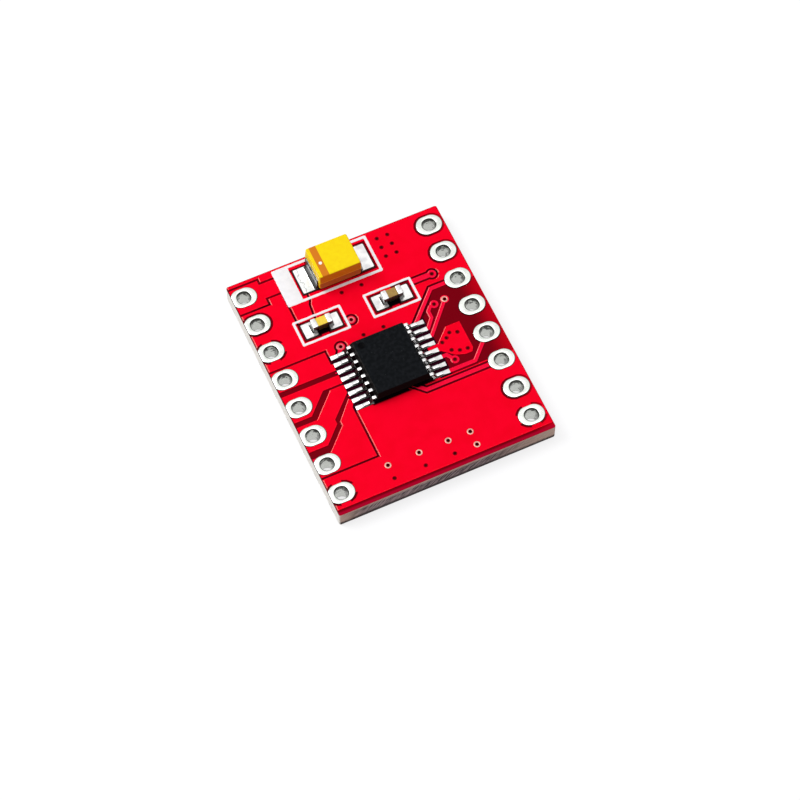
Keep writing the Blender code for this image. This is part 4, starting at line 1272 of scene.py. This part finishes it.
    def mark_gaps(self, work: bmesh.types.BMesh) -> None:
        """Writes how wide the gap is beside each point, and whether it runs along Y, for the film's painted
        shade in narrow gaps.

        Args:
            work: The relief.
        """
        widths = work.verts.layers.float.new("gap_width")
        courses = work.verts.layers.float.new("gap_course")
        tree = BVHTree.FromBMesh(work)
        for vertex in work.verts:
            vertex[widths] = self.longest_gap
        for face in work.faces:
            middle = face.calc_center_median()
            if not self.is_upright(face) or self.depth(face) > self.deepest_gap or self.is_by_ring(middle):
                continue
            found = tree.ray_cast(middle + face.normal * self.ray_start, face.normal, self.longest_gap)
            width = found[3] if found[0] else self.longest_gap
            for vertex in face.verts:
                if width < vertex[widths]:
                    vertex[widths] = width
                    vertex[courses] = abs(face.normal.x)

    def is_by_ring(self, point: Vector) -> bool:
        """Whether a point is beside a via that stands free on the laminate."""
        return any((point.xy - Vector(at)).length < self.open_ring_reach for at in self.open_rings)

    def mark_tracks(self, work: bmesh.types.BMesh) -> None:
        """Marks the faces of copper areas that are narrow for their length.

        Args:
            work: The relief.
        """
        marks = work.faces.layers.float.new("on_track")
        left = {face for face in work.faces if self.is_copper_top(face)}
        while left:
            area = [left.pop()]
            for face in area:
                beside = {other for edge in face.edges for other in edge.link_faces} & left
                left -= beside
                area.extend(beside)
            inside = set(area)
            rim = sum(edge.calc_length() for face in area for edge in face.edges
                      if not all(other in inside for other in edge.link_faces))
            if 2 * sum(face.calc_area() for face in area) / rim < self.widest_track:
                for face in area:
                    face[marks] = 1.0


@dataclass
class PlatedHole:
    """A header hole: a plated barrel with a levelled-tin land on each face.

    Its two profiles give each ring's share of the way from the bore to the land's edge, and
    its height."""

    side: Side
    number: int
    bore: float = 0.50
    wall: float = 0.05
    length: float = 2.10
    width: float = 1.60
    sides: int = 48
    upper: tuple[Flat, ...] = ((0.0, 0.9), (0.0, 1.56), (0.03, 1.64), (0.09, 1.672), (0.2, 1.688),
                               (0.5, 1.692), (0.8, 1.684), (0.92, 1.672), (0.98, 1.655), (1.0, 1.63),
                               (1.0, 1.59))
    lower: tuple[Flat, ...] = ((1.0, 0.07), (1.0, 0.03), (0.95, 0.004), (0.5, 0.0), (0.09, 0.002),
                               (0.03, 0.02), (0.0, 0.1))

    def build(self) -> None:
        """Lofts the barrel and both lands."""
        x = ROW_LEFT_X if self.side is Side.LEFT else ROW_RIGHT_X
        centre = (x, ROW_FAR_Y - (self.number - 1) * PIN_PITCH)
        bore, barrel = (circle(centre, radius, self.sides) for radius in (self.bore, self.bore + self.wall))
        land = [(max(px, -BOARD_HALF_X), py) for px, py in oval(centre, self.length, self.width, self.sides)]
        profile = [(between(bore, land, share), share, z) for share, z in self.upper]
        profile += [(barrel, 1.0, z) for z in (self.upper[-1][1], self.lower[0][1])]
        profile += [(between(bore, land, share), share, z) for share, z in self.lower]
        work = MeshWork()
        layer = work.work.verts.layers.float.new("land_share")
        rings = work.wheel([at_height(outline, z) for outline, _, z in profile])
        for ring, (_, share, _) in zip(rings, profile):
            for vertex in ring:
                vertex[layer] = share
        name = f"{self.side.word}_{self.number}"
        work.placed(f"header_land_{name}", (PLATING,), [f"plated_hole_{name}"])


VIA_PLACES = {
    ViaKind.TENTED: [(5.84, 5.052), (4.89, 2.615), (4.32, -2.265),
                     *((x, y) for x in (3.36, 4.23) for y in (7.87, 8.71, 9.55)),
                     *((x, y) for x in (-0.96, 0.66) for y in (2.425, 6.382)),
                     *((x, -9.29) for x in (-3.81, -1.32, 1.01)),
                     (4.07, -0.595), (4.52, -0.365), (4.9, -0.045), (5.47, -0.245),
                     (4.43, -1.445), (4.99, -1.705), (5.59, -1.795)],
    ViaKind.RINGED: [(-2.92, 2.215), (-1.27, 3.972)],
    ViaKind.BARE: [*((x, -8.14) for x in (-3.81, -1.32, 1.01, 2.79)), (2.79, -9.29), (5.79, 2.685)],
}
VIA_FINISHES = {ViaKind.TENTED: (VIA_RED, VIA_DIM), ViaKind.RINGED: (PINK_RING, VIA_DARK),
                ViaKind.BARE: (RING, VIA_DARK)}


@dataclass
class Vias:
    """The small plated holes of one kind, which join the board's two faces."""

    kind: ViaKind
    sides: int = 20

    def build(self) -> None:
        """Builds every via of the kind."""
        work = MeshWork()
        for at in VIA_PLACES[self.kind]:
            self.add_via(work, at)
        work.placed(f"{self.kind.value}_vias", VIA_FINISHES[self.kind], [])

    def add_via(self, work: MeshWork, at: Flat) -> None:
        """Adds a ring and a bowl on the component side, and a filled end on the underside.

        Args:
            work: The mesh, whose finishes are the ring's and the hole's.
            at: Where the via is.
        """
        proud, rim, hole = (0.006, 0.18, 0.11) if self.kind is ViaKind.TENTED else (0.018, 0.26, 0.15)
        film = MASK_TOP - CORE_TOP
        ring = [(rim, -0.01), (rim - 0.01, 0.003), (rim - 0.03, proud), (hole + 0.02, proud)]
        bowl = [(hole + 0.006, proud - 0.010), (hole, 0.02 - film), (hole * 0.9, 0.004 - film)]
        plug = [(hole, 0.002), (hole * 0.9, 0.002)]
        for base, up, end in ((MASK_TOP, 1, bowl), (MASK_BOTTOM, -1, plug)):
            sections = [at_height(circle(at, radius, self.sides), base + up * rise)
                        for radius, rise in ring + end]
            inner = len(ring)
            work.loft(sections[:inner + 1], 0, (False, False))
            work.loft(sections[inner:], 1, (False, True))


# The driver chip


@dataclass(frozen=True)
class Moulding:
    """A block from a two-part mould, with drafted sides, a seam and round edges."""

    centre: Flat
    half: Flat
    base: float
    height: float
    upper_draft: float
    lower_draft: float
    corner: float
    edge: float
    seam: float = 0.03
    seam_step: float = 0.012

    def sections(self) -> list[list[Place]]:
        """The block's sections from its underside to its upper edge.

        Returns:
            Sections of as many points each.
        """
        middle, top = self.base + self.height / 2, self.base + self.height
        turns = [math.pi / 2 * step / 3 for step in range(4)]
        arc = [(self.edge * (1 - math.sin(turn)), self.edge * (1 - math.cos(turn))) for turn in turns]
        levels = [(self.lower_draft + far, self.base + near) for far, near in arc]
        levels += [(self.seam_step, middle - self.seam), (0.0, middle - self.seam / 2),
                   (0.0, middle + self.seam / 2), (self.seam_step, middle + self.seam)]
        levels += [(self.upper_draft + near, top - far) for far, near in arc]
        return stacked(self.centre, self.half, self.corner, levels, 4)


@dataclass
class DriverChip:
    """The driver chip: a black moulding with a round mark, and sixteen gull-wing leads.

    The mark's profile gives each ring's share of the radius and of the depth."""

    body: Moulding = Moulding(centre=(CHIP_X, CHIP_Y), half=(2.20, 2.495), base=1.73, height=1.00,
                              upper_draft=0.15, lower_draft=0.15, corner=0.07, edge=0.035)
    mark: Flat = (CHIP_X - 1.50, CHIP_Y + 1.795)
    mark_radius: float = 0.27
    mark_depth: float = 0.05
    mark_profile: tuple[Flat, ...] = ((1.0, 0.0), (0.93, 0.35), (0.7, 0.8), (0.3, 1.0))
    lead_half: Flat = (0.12, 0.065)
    lead_edge: float = 0.03
    lead_bend: float = 0.13
    lead_root: float = 1.98
    lead_z: float = 2.23
    shoulder: float = 2.42
    foot: float = 0.52
    tip: float = 3.20
    land: Flat = (2.38, 3.80)
    land_half_width: float = 0.19
    land_chamfer: float = 0.015

    def build(self) -> None:
        """Builds the body and every lead."""
        self.build_body()
        for side in Side:
            for number in range(1, LEADS_PER_SIDE + 1):
                self.build_lead(side, number)

    def build_body(self) -> None:
        """The moulding with its dished round mark."""
        work = MeshWork()
        rim = work.loft(self.body.sections(), 0, (True, False))[-1]
        top = rim[0].co.z
        bowl = [at_height(circle(self.mark, self.mark_radius * share, 32), top - depth * self.mark_depth)
                for share, depth in self.mark_profile]
        hole = work.loft(bowl, 1, (False, True))[0]
        edges = [work.work.edges.get(ends) for ring in (rim, hole) for ends in zip(ring, ring[1:] + ring[:1])]
        bmesh.ops.triangle_fill(work.work, edges=edges, use_beauty=True, use_dissolve=False)
        work.placed("chip_case", (EPOXY, MARK_EPOXY), ["chip_body"], 35.0)

    def build_lead(self, side: Side, number: int) -> None:
        """One lead with its foot in a solder joint on its land.

        Args:
            side: The side that it leaves from.
            number: Its place, counted from the far end.
        """
        y = CHIP_Y + (LEADS_PER_SIDE - 1) * LEAD_PITCH / 2 - (number - 1) * LEAD_PITCH
        heel, foot_z = self.tip - self.foot, LAND_TOP + self.lead_half[1] + 0.005
        line = [(self.lead_root, self.lead_z), (self.shoulder, self.lead_z), (heel, foot_z),
                (self.tip, foot_z)]
        work = MeshWork()
        work.sweep(bent_line(line, self.lead_bend), y, self.lead_half, self.lead_edge)
        middle = ((self.land[0] + self.land[1]) / 2, y)
        half = ((self.land[1] - self.land[0]) / 2, self.land_half_width)
        levels = ((0.0, CORE_TOP + 0.01), (0.0, LAND_TOP - 0.02), (self.land_chamfer, LAND_TOP))
        work.loft(stacked(middle, half, 0.05, levels), 1)
        outer = round_rect(middle, (half[0] - self.land_chamfer, half[1] - self.land_chamfer), 0.06)
        foot = round_rect((self.tip - self.foot / 2, y),
                          (self.foot / 2 + 0.01, self.lead_half[0] - 0.005), 0.03)
        shares = [step / 6 for step in range(7)]
        work.loft([[(px, py, self.solder_z(px, share)) for px, py in between(outer, foot, share)]
                   for share in shares], 1)
        work.moved(side, (CHIP_X, 0.0))
        name = f"{side.word}_{number}"
        work.placed(f"gull_wing_{name}", (LEAD, SOLDER), [f"chip_lead_{name}"])

    def solder_z(self, x: float, share: float) -> float:
        """How high the solder stands, more at the heel of the foot than at its toe."""
        heel = max(0.0, min(1.0, (self.tip - self.foot + 0.08 - x) / 0.2))
        return LAND_TOP - 0.004 + (0.02 * min(1.0, share * 6) + (0.055 + 0.1 * heel) * share ** 1.8)


# The capacitors


@dataclass(frozen=True)
class SolderedEnd:
    """A land with the solder that climbs a terminal's outer face, seen along +X."""

    start: float
    land: Flat
    half_width: float
    heap_half_width: float
    climb: float
    run: float
    steps: int = 12

    def add_to(self, work: MeshWork) -> None:
        """Adds the land with its rim painted dark as shade, and the concave heap.

        Args:
            work: The mesh, whose finishes are the solder's and the rim's painted shade.
        """
        middle = ((self.land[0] + self.land[1]) / 2, 0.0)
        half = ((self.land[1] - self.land[0]) / 2, self.half_width)
        levels = ((0.0, CORE_TOP + 0.01), (0.0, LAND_TOP - 0.03), (0.03, LAND_TOP - 0.004),
                  (0.07, LAND_TOP + 0.02))
        work.face(work.loft(stacked(middle, half, 0.08, levels), 1, (True, False))[-1])
        work.loft([self.heap_section(step / self.steps) for step in range(self.steps + 1)])

    def heap_section(self, share: float) -> list[Place]:
        """The heap's section at a share of its run from the terminal.

        Args:
            share: The share.

        Returns:
            Its points.
        """
        x = self.start - 0.02 + self.run * share
        high = LAND_TOP + 0.015 + self.climb * (1 - math.sin(math.pi / 2 * share)) ** 1.15
        width = self.heap_half_width * (1 - 0.05 * share)
        flare = 0.5 * (self.half_width - 0.05 - width) * (1 - (1 - share) ** 2)
        low = width + max(flare, 0.0) + 0.03 * (1 - share)
        side = (LAND_TOP + 2 * high) / 3
        half = [(low, LAND_TOP), (width, side), (width * 0.8, high)]
        return [(x, -y, z) for y, z in half] + [(x, 0.0, high + 0.01)] + [(x, y, z) for y, z in half[::-1]]


@dataclass
class TantalumCapacitor:
    """The golden moulded capacitor with its bent end terminals and their joints."""

    body: Moulding = Moulding(centre=(TANTALUM_X, TANTALUM_Y), half=(1.73, 1.42), base=1.89, height=1.72,
                              upper_draft=0.05, lower_draft=0.04, corner=0.14, edge=0.09)
    strap_half: Flat = (1.10, 0.05)
    strap_edge: float = 0.03
    strap_bend: float = 0.09
    root: float = 1.55
    face: float = 1.84
    foot: float = 0.80
    joint: SolderedEnd = SolderedEnd(start=1.85, land=(1.04, 2.95), half_width=1.15, heap_half_width=1.05,
                                     climb=0.36, run=0.26)

    def build(self) -> None:
        """Builds the case, the terminals and the joints."""
        work = MeshWork()
        work.loft(self.body.sections())
        work.placed("tantalum_case", (GOLDEN,), ["tantalum_body"], 50.0)
        for side in Side:
            self.build_end(side)

    def build_end(self, side: Side) -> None:
        """One terminal and its joint.

        Args:
            side: The end that it is at.
        """
        middle_z = self.body.base + self.body.height / 2
        outer, foot_z = self.face - self.strap_half[1], LAND_TOP + 0.01 + self.strap_half[1]
        line = [(self.root, middle_z), (outer, middle_z), (outer, foot_z), (self.face - self.foot, foot_z)]
        strap, heap = MeshWork(), MeshWork()
        strap.sweep(bent_line(line, self.strap_bend), 0.0, self.strap_half, self.strap_edge)
        self.joint.add_to(heap)
        solder = FLOWED if side is Side.LEFT else SOLDER
        for work, name, node, finishes in ((strap, "end_strap", "tantalum_terminal", (STRAP,)),
                                           (heap, "end_joint", "tantalum_land", (solder, LAND_EDGE_SHADE))):
            work.moved(side, (TANTALUM_X, TANTALUM_Y))
            work.placed(f"{name}_{side.word}", finishes, [f"{node}_{side.word}"])


@dataclass
class CeramicCapacitor:
    """A ceramic chip capacitor with plated end caps and its joints.

    Stations give each section's X and how far it is drawn in."""

    place: Side
    centre_x: float
    finish: Finish
    half_width: float = 0.40
    bar_corner: float = 0.05
    bar_stations: tuple[Flat, ...] = ((-0.755, 0.095), (-0.74, 0.045), (0.74, 0.045), (0.755, 0.095))
    cap_corner: float = 0.08
    cap_stations: tuple[Flat, ...] = ((0.38, 0.04), (0.39, 0.012), (0.43, 0.0), (0.60, 0.0), (0.74, 0.003),
                                      (0.78, 0.018), (0.796, 0.045), (0.80, 0.085))
    joint: SolderedEnd = SolderedEnd(start=0.81, land=(0.44, 1.54), half_width=0.69, heap_half_width=0.33,
                                     climb=0.24, run=0.16)

    def build(self) -> None:
        """Builds the bar, its caps and their joints."""
        name, centre = self.place.word, (self.centre_x, CERAMIC_Y)
        bar = self.lofted(self.bar_stations, self.bar_corner)
        bar.moved(Side.RIGHT, centre)
        bar.placed(f"ceramic_bar_{name}", (self.finish,), [f"ceramic_{name}_body"])
        for side in Side:
            cap = self.lofted(self.cap_stations, self.cap_corner)
            cap.moved(side, centre)
            cap.placed(f"plated_cap_{name}_{side.word}", (LEAD,), [f"ceramic_{name}_cap_{side.word}"], 60.0)
            heap = MeshWork()
            self.joint.add_to(heap)
            heap.moved(side, centre)
            heap.placed(f"cap_joint_{name}_{side.word}", (SOLDER, LAND_EDGE_SHADE),
                        [f"ceramic_{name}_land_{side.word}"])

    def lofted(self, stations: Sequence[Flat], corner: float) -> MeshWork:
        """A bar of rounded square section along X.

        Args:
            stations: Its stations.
            corner: The section's corner radius.

        Returns:
            The mesh.
        """
        middle = LAND_TOP + 0.01 + self.half_width
        work = MeshWork()
        work.loft([[(x, y, z) for y, z in round_rect((0.0, middle), (self.half_width - cut,) * 2, corner, 4)]
                   for x, cut in stations])
        return work


# Printed frames


@dataclass
class PrintedFrame:
    """A printed rectangle around a capacitor, with the slightly uneven edge of a screen print."""

    place: str
    line: float = 0.19
    bar: float = 0.19
    outer_corner: float = 0.12
    inner_corner: float = 0.06
    corner_steps: int = 4
    pieces: int = 24
    waver: float = 0.010
    thickness: float = 0.034
    lift: float = 0.002
    bevel: float = 0.012
    bevel_share: float = 0.04

    def build(self) -> None:
        """Lofts the frame's section round the box of its solid."""
        node = f"ink_frame_{self.place}"
        low, high = ((corner.x / MM, corner.y / MM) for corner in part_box(node))
        outer = self.outline(low, high, self.outer_corner)
        inner = self.outline((low[0] + self.bar, low[1] + self.line),
                             (high[0] - self.line, high[1] - self.line), self.inner_corner)
        top, base, rim = MASK_TOP + self.thickness, MASK_TOP + self.lift, self.bevel_share
        profile = ((0.0, base), (0.0, top - self.bevel), (rim, top),
                   (1 - rim, top), (1.0, top - self.bevel), (1.0, base))
        work = MeshWork()
        work.wheel([at_height(between(outer, inner, share), z) for share, z in profile])
        work.placed(f"print_frame_{self.place}", (INK,), [node], 30.0)

    def outline(self, low: Flat, high: Flat, radius: float) -> Outline:
        """A rounded rectangle in short steps, with a waver.

        Args:
            low: Its lowest corner.
            high: Its highest corner.
            radius: Its corners' radius.

        Returns:
            As many points for any size.
        """
        centre = ((low[0] + high[0]) / 2, (low[1] + high[1]) / 2)
        half = ((high[0] - low[0]) / 2, (high[1] - low[1]) / 2)
        corners = round_rect(centre, half, radius, self.corner_steps)
        points = []
        for index, (a, b) in enumerate(zip(corners, corners[1:] + corners[:1])):
            pieces = self.pieces if (index + 1) % (self.corner_steps + 1) == 0 else 1
            for step in range(pieces):
                share = step / pieces
                x, y = a[0] + (b[0] - a[0]) * share, a[1] + (b[1] - a[1]) * share
                phase = 9.1 * x + 7.3 * y
                points.append((x + self.waver * math.sin(3.7 * phase) * math.cos(phase),
                               y + self.waver * math.sin(5.3 * phase + 1.0)))
        return points


# The studio


@dataclass
class Studio:
    """Pale floor, white surround, soft lamps and the camera, in metres."""

    floor_half: float = 0.6
    floor_z: float = -2e-5
    bright_reach: Flat = (0.04, 0.30)
    brightness: Flat = (0.75, 0.88)
    lens: float = 135.0
    camera_at: Place = (-0.043767 - 0.00017, -0.096002 + 0.00012, 0.194949 + 0.00163)
    camera_axes: tuple[Place, Place, Place] = ((0.90840, 0.36921, -0.19619), (-0.41809, 0.80584, -0.41933),
                                               (0.00328, 0.46294, 0.88638))
    surround: float = 0.42

    def build(self) -> None:
        """Makes the stage, the lights and the camera."""
        self.build_floor()
        self.build_world()
        self.lamp("key", (-0.12, 0.09, 0.21), 0.14, 0.57)
        self.lamp("overhead", (0.03, -0.02, 0.32), 0.26, 0.20)
        self.build_camera()
        bpy.context.scene.view_settings.view_transform = "Standard"

    def seen(self, graph: Graph, *rays: str) -> Socket:
        """1 for the rays of some kinds, and 0 for others.

        Args:
            graph: The material's or the world's graph.
            rays: Two or more kinds, as the Light Path node names them.

        Returns:
            A value.
        """
        path = graph.add("LightPath").outputs
        seen = path[rays[0]]
        for ray in rays[1:]:
            seen = graph.larger(seen, path[ray])
        return seen

    def build_floor(self) -> None:
        """A white floor that keeps the module's soft shadow."""
        half = self.floor_half
        mesh = bpy.data.meshes.new("floor")
        corners = [(-half, -half), (half, -half), (half, half), (-half, half)]
        mesh.from_pydata(at_height(corners, self.floor_z), [], [(0, 1, 2, 3)])
        floor = linked("floor", mesh)
        paper = bpy.data.materials.new("white_paper")
        paper.use_nodes = True
        graph = Graph(paper.node_tree)
        paper.node_tree.nodes.remove(paper.node_tree.nodes["Principled BSDF"])
        matt = graph.add("BsdfDiffuse", {"Color": (0.62, 0.62, 0.63)})
        faint = graph.add("BsdfDiffuse", {"Color": (0.29, 0.29, 0.30)})
        level = graph.ramp(graph.measure("LENGTH", graph.place()), *self.bright_reach, self.brightness)
        glow = graph.add("Emission", {"Color": (1.0, 1.0, 1.0), "Strength": level})
        both = graph.add("AddShader", {0: faint.outputs[0], 1: glow.outputs[0]})
        seen = self.seen(graph, "Is Camera Ray", "Is Glossy Ray")
        pick = graph.add("MixShader", {0: seen, 1: matt.outputs[0], 2: both.outputs[0]})
        graph.feed(paper.node_tree.nodes["Material Output"].inputs["Surface"], pick.outputs[0])
        mesh.materials.append(paper)

    def build_world(self) -> None:
        """White to the camera and in reflections, and a softer light on the object."""
        world = bpy.data.worlds.new("surround")
        world.use_nodes = True
        bpy.context.scene.world = world
        graph = Graph(world.node_tree)
        seen = self.seen(graph, "Is Camera Ray", "Is Glossy Ray", "Is Transmission Ray")
        back = world.node_tree.nodes["Background"]
        graph.feed(back.inputs["Color"], (1.0, 1.0, 1.0))
        graph.feed(back.inputs["Strength"], graph.spread(seen, self.surround, 1.0))

    def lamp(self, name: str, place: Place, size: float, level: float) -> None:
        """A square lamp aimed at the module.

        Args:
            name: Its name.
            place: Where it hangs.
            size: Its side.
            level: How brightly it lights a white card at the module that faces it.
        """
        at = Vector(place)
        light = bpy.data.lights.new(name, "AREA")
        light.size = size
        light.energy = level * math.pi * math.pi * at.length_squared
        lamp = linked(name, light)
        lamp.location = at
        lamp.rotation_euler = at.to_track_quat("Z", "Y").to_euler()

    def build_camera(self) -> None:
        """The camera at the photograph's angle."""
        data = bpy.data.cameras.new("camera")
        data.lens, data.sensor_width, data.clip_start = self.lens, 36.0, 0.001
        camera = linked("camera", data)
        camera.matrix_world = Matrix.Translation(self.camera_at) @ Matrix(self.camera_axes).to_4x4()
        bpy.context.scene.camera = camera


def main() -> None:
    """Builds every part of the module and the studio."""
    logging.basicConfig(level=logging.INFO, format="%(name)s: %(message)s")
    CircuitBoard().build()
    for side in Side:
        for number in range(1, PINS_PER_ROW + 1):
            PlatedHole(side, number).build()
    for kind in ViaKind:
        Vias(kind).build()
    DriverChip().build()
    TantalumCapacitor().build()
    CeramicCapacitor(Side.LEFT, CERAMIC_LEFT_X, CERAMIC_GOLD).build()
    CeramicCapacitor(Side.RIGHT, CERAMIC_RIGHT_X, CERAMIC_BROWN).build()
    PrintedFrame("tantalum", line=0.22, bar=1.28).build()
    for place in ("ceramic_left", "ceramic_right"):
        PrintedFrame(place).build()
    Studio().build()


if __name__ == "__main__":
    main()
